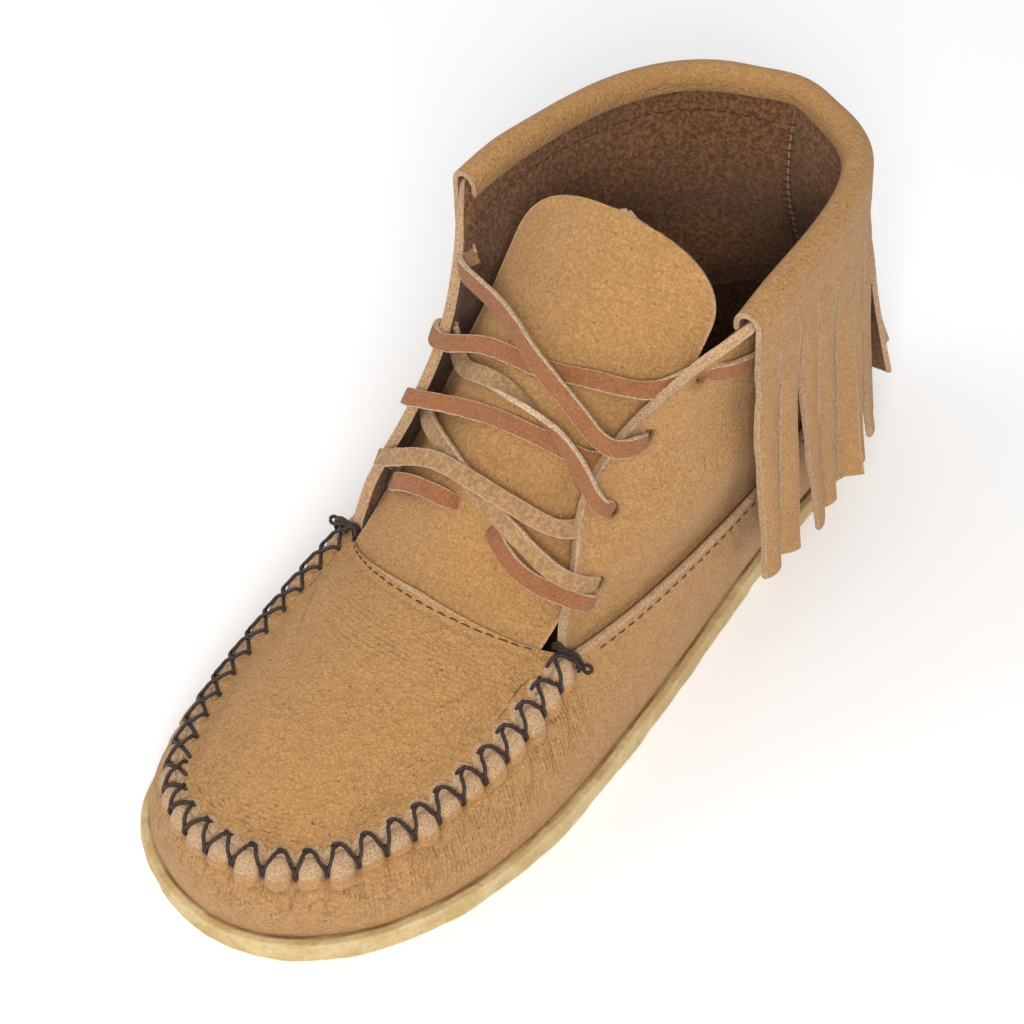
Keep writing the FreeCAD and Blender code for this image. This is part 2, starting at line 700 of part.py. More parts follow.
def make_cross_stitches():
    """Hand stitches that cross over the toe seam, from the side wall to the plug."""
    wall_line = []
    plug_line = []
    for sign in (-1, 1):
        wall_half_line = []
        plug_half_line = []
        for place, inner in zip(wall_top(sign)[:SEAM_COLUMNS], inner_seam_line(sign)):
            inward = Vector(inner.x - place.x, inner.y - place.y, 0)
            inward.normalize()
            wall_half_line.append(place - inward * STITCH_OVERHANG - Vector(0, 0, STITCH_DROP))
            spot = place + inward * STITCH_SPAN
            plug_half_line.append(Vector(spot.x, spot.y, plug_height(spot.x, spot.y) + THREAD / 2))
        wall_line += wall_half_line[::-1] if sign < 0 else wall_half_line[1:]
        plug_line += plug_half_line[::-1] if sign < 0 else plug_half_line[1:]
    wall_side = curve_through(wall_line, CROSS_STITCHES + 1)
    plug_side = curve_through(plug_line, CROSS_STITCHES + 1)
    threads = []
    for k in range(CROSS_STITCHES):
        for a, b in ((wall_side[k], plug_side[k + 1]), (wall_side[k + 1], plug_side[k])):
            crown = blend(a, b, 0.5) + Vector(0, 0, SEAM_RISE)
            threads += [thread(a, crown, THREAD / 2), thread(crown, b, THREAD / 2)]
    return Part.makeCompound(threads)


def make_knots():
    """Bar tacks at the two ends of the toe seam: a few turns of thread over the edges."""
    turns = []
    for sign in (-1, 1):
        end = wall_top(sign)[SEAM_COLUMNS - 1]
        for k in range(KNOT_TURNS):
            middle = end + Vector(0, k * KNOT_SPACING - THREAD, THREAD)
            reach = Vector(STITCH_SPAN * sign, 0, -THREAD)
            turns.append(thread(middle - reach, middle + reach, THREAD / 2))
    return Part.makeCompound(turns)


def stitch_row(points):
    """A machine seam: short threads in line along a curve, one per pitch."""
    curve = Part.BSplineCurve()
    curve.interpolate(points)
    count = int(curve.length() / MACHINE_PITCH)
    places = curve.toShape().discretize(Number=2 * count + 1)
    return [thread(places[2 * k], places[2 * k + 1], MACHINE_THREAD / 2) for k in range(count)]


def make_tongue_stitches():
    """The seam that holds the tongue under the plug's back edge."""
    points = []
    for k in range(13):
        x = (TONGUE_SEAM_HALF - SEAM_MARGIN) * (k / 6 - 1)
        y = seam_arc(x) - SEAM_MARGIN
        points.append(Vector(x, y, plug_height(x, y)))
    return Part.makeCompound(stitch_row(points))


def make_quarter_stitches():
    """The seams that hold the side wall's raw edge over the quarters."""
    rows = []
    for sign in (-1, 1):
        line = wall_half(sign, (1.0, 1 - SEAM_MARGIN / RIM_HEIGHT * MARGIN_SLANT))[-1][SEAM_COLUMNS:-1:2]
        rows += stitch_row(line)
    return Part.makeCompound(rows)


def make_cuff_stitches():
    """The seam inside the collar that holds the cuff's strip to the quarters."""
    rows = []
    for sign in (-1, 1):
        grid = quarter_grid(sign)
        inner = offset(grid, -QUARTER_LEATHER * sign)
        rows += stitch_row(inner[CUFF_SEAM_ROW][1:-1:2])
    return Part.makeCompound(rows)


def make_back_stitches():
    """Threads across the butted back edges of the two quarters."""
    grid = quarter_grid(1)
    edge = [line[-1] for line in offset(grid, -QUARTER_LEATHER)]
    places = curve_through(edge[2:-2], BACK_STITCHES)
    reach = Vector(SEAM_MARGIN, 0, 0)
    middle = [Vector(0, p.y, p.z) for p in places]
    return Part.makeCompound([thread(p - reach, p + reach, MACHINE_THREAD / 2) for p in middle])


def cut_slits(root):
    """The two upright slits in the tongue that the thong passes through."""
    holes = {1: lace_holes(1), -1: lace_holes(-1)}
    size = THONG_THICKNESS + 2 * LAYER_GAP
    height = THONG_WIDTH + 2 * LAYER_GAP
    depth = 8 * TONGUE_LEATHER
    for run, end in ((LACE_RUNS[-2], -1), (LACE_RUNS[-1], 0)):
        box = Part.makeBox(size, height, depth)
        box.translate(Vector(-size / 2, -height / 2, -depth / 2))
        box.rotate(Vector(0, 0, 0), Vector(1, 0, 0), SLIT_TURN)
        box.translate(run_places(holes, *run[:3])[end])
        root = root.cut(box)
    return root


def save(name, shape):
    shape.exportStep("parts/" + name + ".step")
    solids = shape.Solids
    print(name, len(solids), "solids", round(sum(s.Volume for s in solids)), "mm3", shape.isValid())


def main():
    os.makedirs("parts", exist_ok=True)
    save("outsole", slab(0.0, 0.0, SOLE_THICKNESS))
    save("wrap", make_wrap())
    foam_floor = SOLE_THICKNESS + WRAP_LEATHER
    footbed_inset = SOLE_LEDGE + WRAP_LEATHER + FOOTBED_CLEARANCE
    save("insole_foam", slab(footbed_inset, foam_floor, FOAM_THICKNESS))
    save("insole_cover", slab(footbed_inset, foam_floor + FOAM_THICKNESS, COVER_THICKNESS))
    save("plug", make_plug())
    save("quarter_lateral", make_quarter(1))
    save("quarter_medial", make_quarter(-1))
    save("cuff_band", make_cuff())
    for number, place in enumerate(strand_places(), 1):
        save("fringe_strand_%02d" % number, make_strand(*place))
    root, flap = make_tongue()
    save("tongue_root", cut_slits(root))
    save("tongue_flap", flap)
    save("lace", Part.makeCompound(lace_over_instep() + lace_round_heel()))
    save("apron_stitches", make_cross_stitches())
    save("apron_knots", make_knots())
    save("tongue_stitches", make_tongue_stitches())
    save("quarter_stitches", make_quarter_stitches())
    save("cuff_stitches", make_cuff_stitches())
    save("back_stitches", make_back_stitches())
    print("tongue fold at", [round(v, 2) for v in fold_place()])
    for number, (hinge, along, away, width, slope) in enumerate(strand_places(), 1):
        print("hinge %02d at" % number, [round(v, 3) for v in hinge], "axis", [round(-v, 4) for v in along])


main()
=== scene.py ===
# %% [markdown]
# ## A laced and fringed moccasin
#
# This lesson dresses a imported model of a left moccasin. Every piece is a surface that numpy works out from a few
# named sizes and key places, all in millimetres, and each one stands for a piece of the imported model.

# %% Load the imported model
import bmesh
import bpy
import numpy as np
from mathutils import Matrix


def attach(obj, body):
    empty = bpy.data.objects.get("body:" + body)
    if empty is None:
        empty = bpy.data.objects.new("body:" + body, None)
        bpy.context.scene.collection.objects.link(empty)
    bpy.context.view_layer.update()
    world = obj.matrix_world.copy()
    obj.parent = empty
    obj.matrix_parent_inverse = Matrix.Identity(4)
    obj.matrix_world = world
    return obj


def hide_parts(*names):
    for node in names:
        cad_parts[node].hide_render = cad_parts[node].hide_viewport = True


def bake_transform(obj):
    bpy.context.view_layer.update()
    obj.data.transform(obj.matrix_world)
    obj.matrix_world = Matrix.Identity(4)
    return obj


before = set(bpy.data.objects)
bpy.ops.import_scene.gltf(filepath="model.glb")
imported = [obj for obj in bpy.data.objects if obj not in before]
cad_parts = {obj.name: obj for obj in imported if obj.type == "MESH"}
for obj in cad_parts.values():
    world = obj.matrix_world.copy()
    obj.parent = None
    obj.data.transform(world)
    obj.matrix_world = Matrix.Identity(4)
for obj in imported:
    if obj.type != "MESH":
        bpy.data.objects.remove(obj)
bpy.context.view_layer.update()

# %% [markdown]
# ## The last
#
# A shoe is built over a last, a foot shape. Its lines are given here as shares of the half width, half length and
# rim height, so that one list of places serves every size. x is across, y is along with the toe at -1, z is up.

# %% Sizes of the shoe and its leathers
SOLE_LENGTH = 260.0
BALL_WIDTH = 95.0
RIM_HEIGHT = 113.0
SOLE_THICKNESS = 6.0
SOLE_LEDGE = 2.8
LEATHER = 1.8
QUARTER_LEATHER = 1.6
CUFF_LEATHER = 1.5
TONGUE_LEATHER = 1.6
LAYER_GAP = 0.4
TUCK_GAP = 1.2
SEAM_LAP = 9.0
WALL_BULGE = 2.5
SEAM_RISE = 2.2
HALF_LENGTH = SOLE_LENGTH / 2
HALF_WIDTH = BALL_WIDTH / 2
LAST_SCALE = np.array([HALF_WIDTH, HALF_LENGTH, RIM_HEIGHT])
MM = 0.001

LATERAL_SOLE = [(0.0, -1.0), (0.22, -0.985), (0.43, -0.948), (0.76, -0.83), (0.945, -0.69), (1.055, -0.46),
                (1.0, -0.16), (0.875, 0.15), (0.745, 0.43), (0.68, 0.66), (0.58, 0.84), (0.34, 0.965), (0.0, 1.0)]
MEDIAL_SOLE = [(0.0, -1.0), (-0.22, -0.99), (-0.44, -0.965), (-0.79, -0.87), (-0.93, -0.72), (-0.95, -0.48),
               (-0.83, -0.16), (-0.735, 0.15), (-0.69, 0.43), (-0.67, 0.66), (-0.57, 0.84), (-0.34, 0.965),
               (0.0, 1.0)]
TOE_SEAM = [(0.0, -0.952), (0.22, -0.938), (0.42, -0.90), (0.645, -0.785), (0.765, -0.64), (0.825, -0.44),
            (0.82, -0.32), (0.80, -0.235)]
QUARTER_SEAM = [(0.83, -0.13, 0.366), (0.86, -0.03, 0.372), (0.877, 0.17, 0.384), (0.857, 0.36, 0.394),
                (0.785, 0.545, 0.40), (0.68, 0.71, 0.402), (0.545, 0.835, 0.402), (0.30, 0.93, 0.402),
                (0.0, 0.958, 0.402)]
PLUG_RIDGE = [(-1.0, 0.20), (-0.945, 0.262), (-0.86, 0.318), (-0.72, 0.372), (-0.55, 0.415), (-0.342, 0.469),
              (-0.15, 0.51)]
QUARTER_LEVELS = (
    ((0.655, -0.175, 0.53), (0.83, 0.0, 0.53), (0.875, 0.25, 0.53), (0.75, 0.58, 0.54), (0.46, 0.845, 0.54),
     (0.0, 0.91, 0.54)),
    ((0.585, -0.10, 0.68), (0.80, 0.10, 0.68), (0.86, 0.33, 0.69), (0.77, 0.58, 0.70), (0.49, 0.805, 0.70),
     (0.0, 0.872, 0.70)),
    ((0.665, 0.045, 0.83), (0.84, 0.20, 0.83), (0.88, 0.38, 0.85), (0.80, 0.60, 0.85), (0.52, 0.79, 0.85),
     (0.0, 0.868, 0.85)),
    ((0.965, 0.235, 1.0), (0.95, 0.33, 1.015), (0.915, 0.435, 1.02), (0.82, 0.62, 1.015), (0.55, 0.80, 1.0),
     (0.0, 0.89, 0.995)),
)

# %% [markdown]
# ## Curves and grids
#
# Leather pieces are smooth sheets, so their borders are cubic curves through a few key places. Working in whole
# arrays keeps each shape a formula: a curve, a grid of places, or a profile carried along a path.


# %% Curves, normals and noise
def unit(vectors):
    """Each vector divided by its own length."""
    return vectors / np.maximum(np.linalg.norm(vectors, axis=-1, keepdims=True), 1e-9)


def walked(points):
    """Length of the line from its start to each of its points."""
    return np.concatenate([[0.0], np.cumsum(np.linalg.norm(np.diff(points, axis=0), axis=1))])


def even(points, count):
    """The line cut at even steps of its own length."""
    length = walked(points)
    steps = np.linspace(0, length[-1], count)
    return np.stack([np.interp(steps, length, points[:, axis]) for axis in range(points.shape[1])], axis=1)


def spline(points, count):
    """Natural cubic through the points: on each span the second slope runs straight from knot to knot."""
    points = np.asarray(points, float)
    knots = walked(points)
    spans = np.diff(knots)
    size = len(points)
    matrix = np.eye(size)
    right = np.zeros_like(points)
    inner = np.arange(1, size - 1)
    matrix[inner, inner] = 2 * (spans[:-1] + spans[1:])
    matrix[inner, inner - 1] = spans[:-1]
    matrix[inner, inner + 1] = spans[1:]
    slopes = np.diff(points, axis=0) / spans[:, None]
    right[1:-1] = 6 * np.diff(slopes, axis=0)
    bend = np.linalg.solve(matrix, right)
    place = np.linspace(0, knots[-1], max(8 * size, 3 * count))
    span = np.clip(np.searchsorted(knots, place, side="right") - 1, 0, size - 2)
    wide = spans[span][:, None]
    after = (place - knots[span])[:, None]
    before = wide - after
    curve = (bend[span] * before ** 3 + bend[span + 1] * after ** 3) / (6 * wide)
    curve += (points[span] / wide - bend[span] * wide / 6) * before
    curve += (points[span + 1] / wide - bend[span + 1] * wide / 6) * after
    return even(curve, count)


def grid_normals(grid):
    """Unit normal at each place of a grid: the cross product of its steps along columns and along rows."""
    return unit(np.cross(np.gradient(grid, axis=1), np.gradient(grid, axis=0)))


def smooth(low, high, value):
    """0 below low, 1 above high and a soft S between them."""
    share = np.clip((value - low) / (high - low), 0, 1)
    return share * share * (3 - 2 * share)


def lattice(points, seed):
    """Noise from -1 to 1: random numbers on a unit lattice, blended with an S curve along x, y and z."""
    cell = np.floor(points).astype(np.int64)
    share = points - cell
    share = share * share * (3 - 2 * share)
    total = 0.0
    for corner in range(8):
        step = np.array([corner & 1, corner >> 1 & 1, corner >> 2 & 1])
        key = (cell + step) * np.array([73856093, 19349663, 83492791])
        key = np.bitwise_xor.reduce(key, axis=-1) ^ (seed * 40503)
        key = (key ^ (key >> 13)) * 1274126177 & 0xFFFFFFFF
        value = ((key ^ (key >> 16)) & 0xFFFF) / 32767.5 - 1
        total = total + value * np.prod(np.where(step, share, 1 - share), axis=-1)
    return total


def rumple(points, size, seed, octaves=3):
    """Soft unevenness: lattice noise of a size in millimetres, then half as large and half as deep, and so on."""
    total = 0.0
    for octave in range(octaves):
        total = total + lattice(points / (size / 2 ** octave), seed + octave) / 2 ** octave
    return total


# %% [markdown]
# ## From numbers to a mesh
#
# A leather piece is a closed sheet: an outer face, an inner face, a rounded cut edge along two borders and a flat
# cut edge along the other two. Numbers painted on its points say where the leather is raw, where its fleshy back
# shows, where shade is painted into its creases and joints and where a glue line darkens it, and the finish reads them.


# %% Meshes from grids
def make_piece(name, places, faces, marks, finish, slot, sharp=50.0):
    """One mesh object from places in millimetres, quads or longer faces, and painted numbers per place."""
    mesh = bpy.data.meshes.new(name)
    mesh.from_pydata((np.asarray(places) * MM).tolist(), [], faces)
    for mark, values in marks.items():
        layer = mesh.attributes.new(mark, "FLOAT", "POINT")
        layer.data.foreach_set("value", np.asarray(values, np.float32).ravel())
    work = bmesh.new()
    work.from_mesh(mesh)
    bmesh.ops.remove_doubles(work, verts=work.verts, dist=1e-6)
    bmesh.ops.recalc_face_normals(work, faces=work.faces)
    work.to_mesh(mesh)
    work.free()
    mesh.shade_smooth()
    mesh.set_sharp_from_angle(angle=np.radians(sharp))
    mesh.materials.append(finish)
    piece = bpy.data.objects.new(name, mesh)
    bpy.context.scene.collection.objects.link(piece)
    print(name, len(mesh.polygons), "faces")
    return piece


def ring_faces(rows, columns, start=0, round_rows=False, round_columns=False):
    """Quads between neighbouring places of a grid that is written row by row."""
    index = start + np.arange(rows * columns).reshape(rows, columns)
    if round_rows:
        index = np.vstack([index, index[:1]])
    if round_columns:
        index = np.hstack([index, index[:, :1]])
    quads = np.stack([index[:-1, :-1], index[:-1, 1:], index[1:, 1:], index[1:, :-1]], axis=-1)
    return quads.reshape(-1, 4).tolist()


def rim(outer_edge, inner_edge, outward, steps=3):
    """Rounded cut edge: half an ellipse from the outer to the inner border, standing out by half its width."""
    middle = (outer_edge + inner_edge) / 2
    angles = np.pi * np.arange(1, steps + 1) / (steps + 1)
    reach = np.linalg.norm(outer_edge - inner_edge, axis=-1, keepdims=True) * 0.42
    return np.stack([middle + (outer_edge - middle) * np.cos(a) + outward * reach * np.sin(a) for a in angles])


def leather_sheet(outer, inner, painted_shade=0.0, bare=0.0, wrinkle=0.0, wrinkled=0.0, joined=False):
    """Closed sheet between two grids. Rows go from its foot, whose edge is rounded, to its top, which is rounded
    too, or joined to itself along the middle of the shoe. Returns places, faces and painted numbers."""
    rows, columns = outer.shape[:2]
    top = rim(outer[-1], inner[-1], unit(outer[-1] - outer[-2]))
    foot = rim(inner[0], outer[0], unit(outer[0] - outer[1]))
    steps = len(top)
    ring = np.concatenate([outer, top, inner[::-1], foot])
    index = np.arange(len(ring) * columns).reshape(len(ring), columns)
    ring_index = np.vstack([index, index[:1]])
    quads = np.stack([ring_index[:-1, :-1], ring_index[:-1, 1:], ring_index[1:, 1:], ring_index[1:, :-1]], axis=-1)
    if joined:
        quads = np.delete(quads, np.arange(rows - 1, rows + steps), axis=0)
    faces = quads.reshape(-1, 4).tolist()
    under = index[rows + steps:2 * rows + steps][::-1]
    for column, way in ((0, 1), (columns - 1, -1)):
        front, behind = index[:rows, column], under[:, column]
        faces += np.stack([front[:-1], front[1:], behind[1:], behind[:-1]], axis=1)[:, ::way].tolist()
        faces.append((index[2 * rows + steps - 1:, column].tolist() + [int(index[0, column])])[::way])
        if not joined:
            faces.append(index[rows - 1:rows + steps + 1, column].tolist()[::way])
    raw = np.zeros(ring.shape[:2])
    raw[:rows] = bare
    raw[rows:rows + steps] = raw[2 * rows + steps:] = 1
    raw[:, [0, -1]] = 1
    flesh = np.zeros(ring.shape[:2])
    flesh[rows + steps - 1:2 * rows + steps + 1] = 1
    crease = np.zeros(ring.shape[:2])
    crease[:rows] = painted_shade
    phase = np.zeros(ring.shape[:2])
    phase[:rows] = wrinkle
    amount = np.zeros(ring.shape[:2])
    amount[:rows] = wrinkled
    marks = {"raw": raw, "flesh": flesh, "crease": crease, "wrinkle": phase, "wrinkled": amount}
    if joined:
        keep = np.ones(len(ring), bool)
        keep[rows:rows + steps] = False
        fresh = np.cumsum(np.repeat(keep, columns)) - 1
        faces = [fresh[face].tolist() for face in faces]
        ring = ring[keep]
        marks = {mark: values[keep] for mark, values in marks.items()}
    return ring.reshape(-1, 3), faces, marks


def tubes(paths, radius, sides=8):
    """Round threads along many paths of the same number of points, closed by their own ends."""
    along = unit(np.gradient(paths, axis=1))
    level = unit(np.cross(along, np.array([0.31, 0.17, 0.93])))
    upright = np.cross(along, level)
    angles = 2 * np.pi * np.arange(sides) / sides
    circle = level[:, :, None] * np.cos(angles)[:, None] + upright[:, :, None] * np.sin(angles)[:, None]
    taper = np.ones(paths.shape[1])
    taper[[0, -1]] = 0.55
    radius = np.broadcast_to(radius, paths.shape[:2]) * taper
    skin = paths[:, :, None] + circle * radius[:, :, None, None]
    count, points = paths.shape[:2]
    faces = []
    for k in range(count):
        start = k * points * sides
        faces += ring_faces(points, sides, start, round_columns=True)
        faces += [list(range(start, start + sides))[::-1]]
        faces += [list(range(start + (points - 1) * sides, start + points * sides))]
    spin = np.broadcast_to(angles / (2 * np.pi), (count, points, sides))
    length = np.linalg.norm(np.diff(paths, axis=1), axis=-1)
    run = np.concatenate([np.zeros((count, 1)), np.cumsum(length, axis=1)], axis=1)
    marks = {"spin": spin.ravel(), "run": np.repeat(run.ravel(), sides)}
    return skin.reshape(-1, 3), faces, marks


# %% [markdown]
# ## A small language for finishes
#
# A finish is a formula over the surface: stains plus grain plus wear. Wrapping a socket in a class lets the formula
# be written as Python sums, and every sum adds its own Math node. Colours go through Mix nodes.


# %% Shader expressions
class Signal:
    """A shader socket that can be added, multiplied and compared like a number."""

    def __init__(self, finish, socket):
        self.finish = finish
        self.socket = socket

    def maths(self, operation, *others):
        return self.finish.node("ShaderNodeMath", {"operation": operation}, [self, *others])

    def __add__(self, other):
        return self.maths("ADD", other)

    __radd__ = __add__

    def __mul__(self, other):
        return self.maths("MULTIPLY", other)

    __rmul__ = __mul__

    def __sub__(self, other):
        return self.maths("SUBTRACT", other)

    def __rsub__(self, other):
        return self.finish.node("ShaderNodeMath", {"operation": "SUBTRACT"}, [other, self])

    def __pow__(self, other):
        return self.maths("POWER", other)

    def between(self, low, high):
        """0 at low, 1 at high and an S between them."""
        settings = {"interpolation_type": "SMOOTHSTEP"}
        return self.finish.node("ShaderNodeMapRange", settings, {"Value": self, "From Min": low, "From Max": high})


class Finish:
    """One material built from expressions."""

    def __init__(self, name):
        self.material = bpy.data.materials.new(name)
        self.material.use_nodes = True
        self.tree = self.material.node_tree
        self.tree.nodes.clear()
        self.shader = self.tree.nodes.new("ShaderNodeBsdfPrincipled")
        output = self.tree.nodes.new("ShaderNodeOutputMaterial")
        self.tree.links.new(self.shader.outputs[0], output.inputs[0])

    def node(self, kind, settings=None, inputs=(), output=0):
        """Any node: its settings first, then the values or links of its inputs, by name or in order."""
        made = self.tree.nodes.new(kind)
        for name, value in (settings or {}).items():
            setattr(made, name, value)
        pairs = inputs.items() if isinstance(inputs, dict) else enumerate(inputs)
        for name, value in pairs:
            self.give(made.inputs[name], value)
        return Signal(self, made.outputs[output])

    def give(self, socket, value):
        if isinstance(value, Signal):
            self.tree.links.new(value.socket, socket)
        else:
            socket.default_value = value

    def place(self, stretch=(1, 1, 1)):
        """Object coordinates, in metres, stretched along the axes."""
        place = self.node("ShaderNodeTexCoord", output="Object")
        return self.node("ShaderNodeVectorMath", {"operation": "MULTIPLY"}, [place, stretch])

    def noise(self, size, detail=3.0, rough=0.55, stretch=(1, 1, 1)):
        """Cloudy pattern whose largest blots are that many millimetres across."""
        inputs = {"Vector": self.place(stretch), "Scale": 1 / (size * MM), "Detail": detail, "Roughness": rough}
        return self.node("ShaderNodeTexNoise", {"normalize": True}, inputs)

    def cells(self, size, feature="F1"):
        """Distance inside pebble-like cells that are that many millimetres across."""
        inputs = {"Vector": self.place(), "Scale": 1 / (size * MM)}
        return self.node("ShaderNodeTexVoronoi", {"feature": feature}, inputs)

    def painted(self, mark):
        """A number painted on the piece's points."""
        return self.node("ShaderNodeAttribute", {"attribute_name": mark}, output="Fac")

    def mix(self, share, first, second, way="MIX"):
        """Two colours mixed by a share."""
        made = self.tree.nodes.new("ShaderNodeMix")
        made.data_type = "RGBA"
        made.blend_type = way
        for socket, value in zip((made.inputs[0], made.inputs[6], made.inputs[7]), (share, first, second)):
            self.give(socket, value)
        return Signal(self, made.outputs[2])

    def bump(self, height, depth, below=None):
        """Relief whose full height is that many millimetres."""
        inputs = {"Height": height, "Distance": depth * MM, "Strength": 1.0}
        if below is not None:
            inputs["Normal"] = below
        return self.node("ShaderNodeBump", {}, inputs)

    def done(self, colour, roughness, normal=None, **even_values):
        """Links the varying values and sets the even ones, then gives the material."""
        self.give(self.shader.inputs["Base Color"], colour)
        self.give(self.shader.inputs["Roughness"], roughness)
        if normal is not None:
            self.give(self.shader.inputs["Normal"], normal)
        for name, value in even_values.items():
            self.shader.inputs[name.replace("_", " ")].default_value = value
        return self.material


def shade(red, green, blue):
    """A colour given in the usual 0 to 255 steps, as the linear numbers that a shader wants."""
    steps = np.array([red, green, blue]) / 255
    linear = np.where(steps <= 0.04045, steps / 12.92, ((steps + 0.055) / 1.055) ** 2.4)
    return (*[float(v) for v in linear], 1.0)


# %% [markdown]
# ## Upper leather
#
# The upper is soft oil-tanned hide with a matt face. Its face has a fine pebble grain with tiny dark pores, its back
# is brown and napped, and wherever it is cut the edge is pale and fibrous. One finish does all three, because a
# cut edge fades into both faces.


# %% Leather, inside nap and cut edges
def leather_finish(name, face, deep, light, flesh, flesh_dark, edge, edge_dark, pebble=1.0):
    """Face colour with stains, pebble grain, pores and wrinkles, painted shade in the wrinkles' troughs and along the
    shade mark; napped back and fibrous edge by their marks.
    """
    look = Finish(name)
    raw = look.painted("raw")
    back = look.painted("flesh")
    crease = look.painted("crease")
    cloud = look.noise(38.0, 3.0)
    stain = look.noise(7.0, 5.0, 0.62)
    fibre = look.noise(0.5, 3.0, 0.7)
    nap = look.noise(1.3, 5.0, 0.75)
    grain = look.cells(pebble)
    ridge = look.cells(pebble, "DISTANCE_TO_EDGE")
    creasing = look.noise(1.9, 4.0, 0.7, (1, 1, 1.6))
    pore = look.cells(2.6).between(0.15, 0.06)
    waver = look.painted("wrinkle") + look.noise(14.0, 2.0) * 1.4
    broken = look.noise(4.5, 2.0).between(0.30, 0.62)
    wrinkle = (waver * 6.2832).maths("SINE") * broken * look.painted("wrinkled")
    body = look.mix(cloud.between(0.34, 0.66) * 0.25, face, light)
    body = look.mix(stain.between(0.46, 0.74) * 0.16, body, deep)
    body = look.mix(grain.between(0.30, 0.75) * 0.30, body, deep)
    body = look.mix(creasing.between(0.52, 0.66) * 0.16, body, deep)
    body = look.mix(pore * 0.5, body, deep)
    # painted shade: darker in the wrinkles' troughs
    body = look.mix(wrinkle.between(-0.1, -0.9) * 0.10, body, deep)
    # painted shade: darker along the marked creases, valleys, hole rims, roll foot and strand tops; the same mark
    # carries the glue line
    body = look.mix(crease.between(0.05, 0.9) * 0.8, body, deep)
    suede = look.mix(nap.between(0.38, 0.66), flesh_dark, flesh)
    suede = look.mix(fibre.between(0.54, 0.74) * 0.35, suede, edge)
    fluff = look.mix(fibre.between(0.36, 0.66), edge, edge_dark)
    fluff = look.mix(nap.between(0.55, 0.70) * 0.35, fluff, edge_dark)
    colour = look.mix(back.between(0.35, 0.75), body, suede)
    frayed = (raw + (fibre - 0.5) * 1.0 + (nap - 0.5) * 0.4).between(0.34, 0.66)
    colour = look.mix(frayed, colour, fluff)
    smooth_height = ridge.between(0.0, 0.30) * 0.45 + creasing.between(0.62, 0.40) * 0.7 - pore * 0.8
    rough_height = nap * 1.4 + fibre * 1.1
    fuzzy = (back + raw).between(0.1, 0.8)
    normal = look.bump(smooth_height * (1 - fuzzy) + rough_height * fuzzy, 0.32)
    normal = look.bump(wrinkle, 0.16, normal)
    normal = look.bump(stain, 0.4, normal)
    roughness = 0.60 + stain * 0.12 + back * 0.3 + raw * 0.2 + grain * 0.05
    return look.done(colour, roughness, normal, Specular_IOR_Level=0.28, Sheen_Weight=0.10, Sheen_Roughness=0.5)


upper_leather = leather_finish(
    "oiled_leather", shade(188, 140, 84), shade(134, 90, 48), shade(198, 150, 93), shade(150, 103, 62),
    shade(92, 57, 32), shade(204, 170, 134), shade(160, 122, 86))
thong_leather = leather_finish(
    "thong_leather", shade(164, 104, 62), shade(108, 62, 34), shade(184, 124, 80), shade(188, 148, 102),
    shade(150, 112, 74), shade(224, 196, 164), shade(170, 132, 96), pebble=0.7)


# %% [markdown]
# ## Crepe, foam and thread
#
# Crepe rubber is raw latex pressed into sheets: cream, faintly translucent and granular. The waxed thread is a
# three-strand twist, so its relief is a helix drawn with the tube's own run and spin.


# %% Crepe, footbed and thread finishes
def crepe_finish():
    look = Finish("crepe_rubber")
    blotch = look.noise(9.0, 4.0, 0.6)
    crumb = look.noise(1.3, 4.0, 0.7)
    speck = look.cells(4.2).between(0.22, 0.10)
    dirt = look.painted("crease")
    colour = look.mix(blotch.between(0.38, 0.62), shade(190, 162, 108), shade(208, 184, 136))
    colour = look.mix(crumb.between(0.45, 0.70) * 0.45, colour, shade(168, 138, 86))
    colour = look.mix(speck * 0.25, colour, shade(150, 122, 72))
    colour = look.mix(dirt * 0.85, colour, shade(110, 70, 28))
    height = crumb + blotch * 0.8
    return look.done(colour, 0.52 + crumb * 0.2, look.bump(height, 0.45), Specular_IOR_Level=0.35)


def thread_finish(name, dark, light, strands, turn):
    """Twisted thread: ridges where spin times strands plus run over turn is a whole number."""
    look = Finish(name)
    phase = look.painted("spin") * strands + look.painted("run") * (1 / turn)
    ply = phase.maths("FRACT").maths("SUBTRACT", 0.5).maths("ABSOLUTE")
    fuzz = look.noise(0.35, 3.0, 0.7)
    # painted shade: darker in the grooves between the plies, where the relief is lowest; fuzz adds random dark flecks
    colour = look.mix(ply.between(0.1, 0.5) * 0.6 + fuzz.between(0.5, 0.75) * 0.5, light, dark)
    return look.done(colour, 0.45 + fuzz * 0.25, look.bump(fuzz * 0.4 - ply, 0.22), Specular_IOR_Level=0.4)


def nap_finish(name, light, dark, size):
    look = Finish(name)
    nap = look.noise(size, 5.0, 0.7)
    fibre = look.noise(0.5, 3.0, 0.7)
    worn = look.noise(30.0, 2.0).between(0.45, 0.65)
    colour = look.mix(nap.between(0.35, 0.65), dark, light)
    colour = look.mix(worn * 0.4, colour, dark)
    return look.done(colour, 0.86 + fibre * 0.1, look.bump(nap + fibre * 0.6, 0.3), Specular_IOR_Level=0.15)


crepe = crepe_finish()
waxed_thread = thread_finish("waxed_thread", shade(18, 12, 10), shade(62, 44, 36), 3, 1.6)
machine_thread = thread_finish("machine_thread", shade(52, 34, 24), shade(104, 76, 56), 2, 0.9)
footbed_suede = nap_finish("footbed_suede", shade(122, 84, 54), shade(80, 52, 32), 1.8)
footbed_foam = nap_finish("footbed_foam", shade(206, 200, 184), shade(176, 168, 150), 0.8)

# %% [markdown]
# ## The camera
#
# A long lens from the front left, high up, looks down on the instep. It is set before the pieces, so that each can
# be judged as it is made. Its turn comes from three directions: back, right and up.

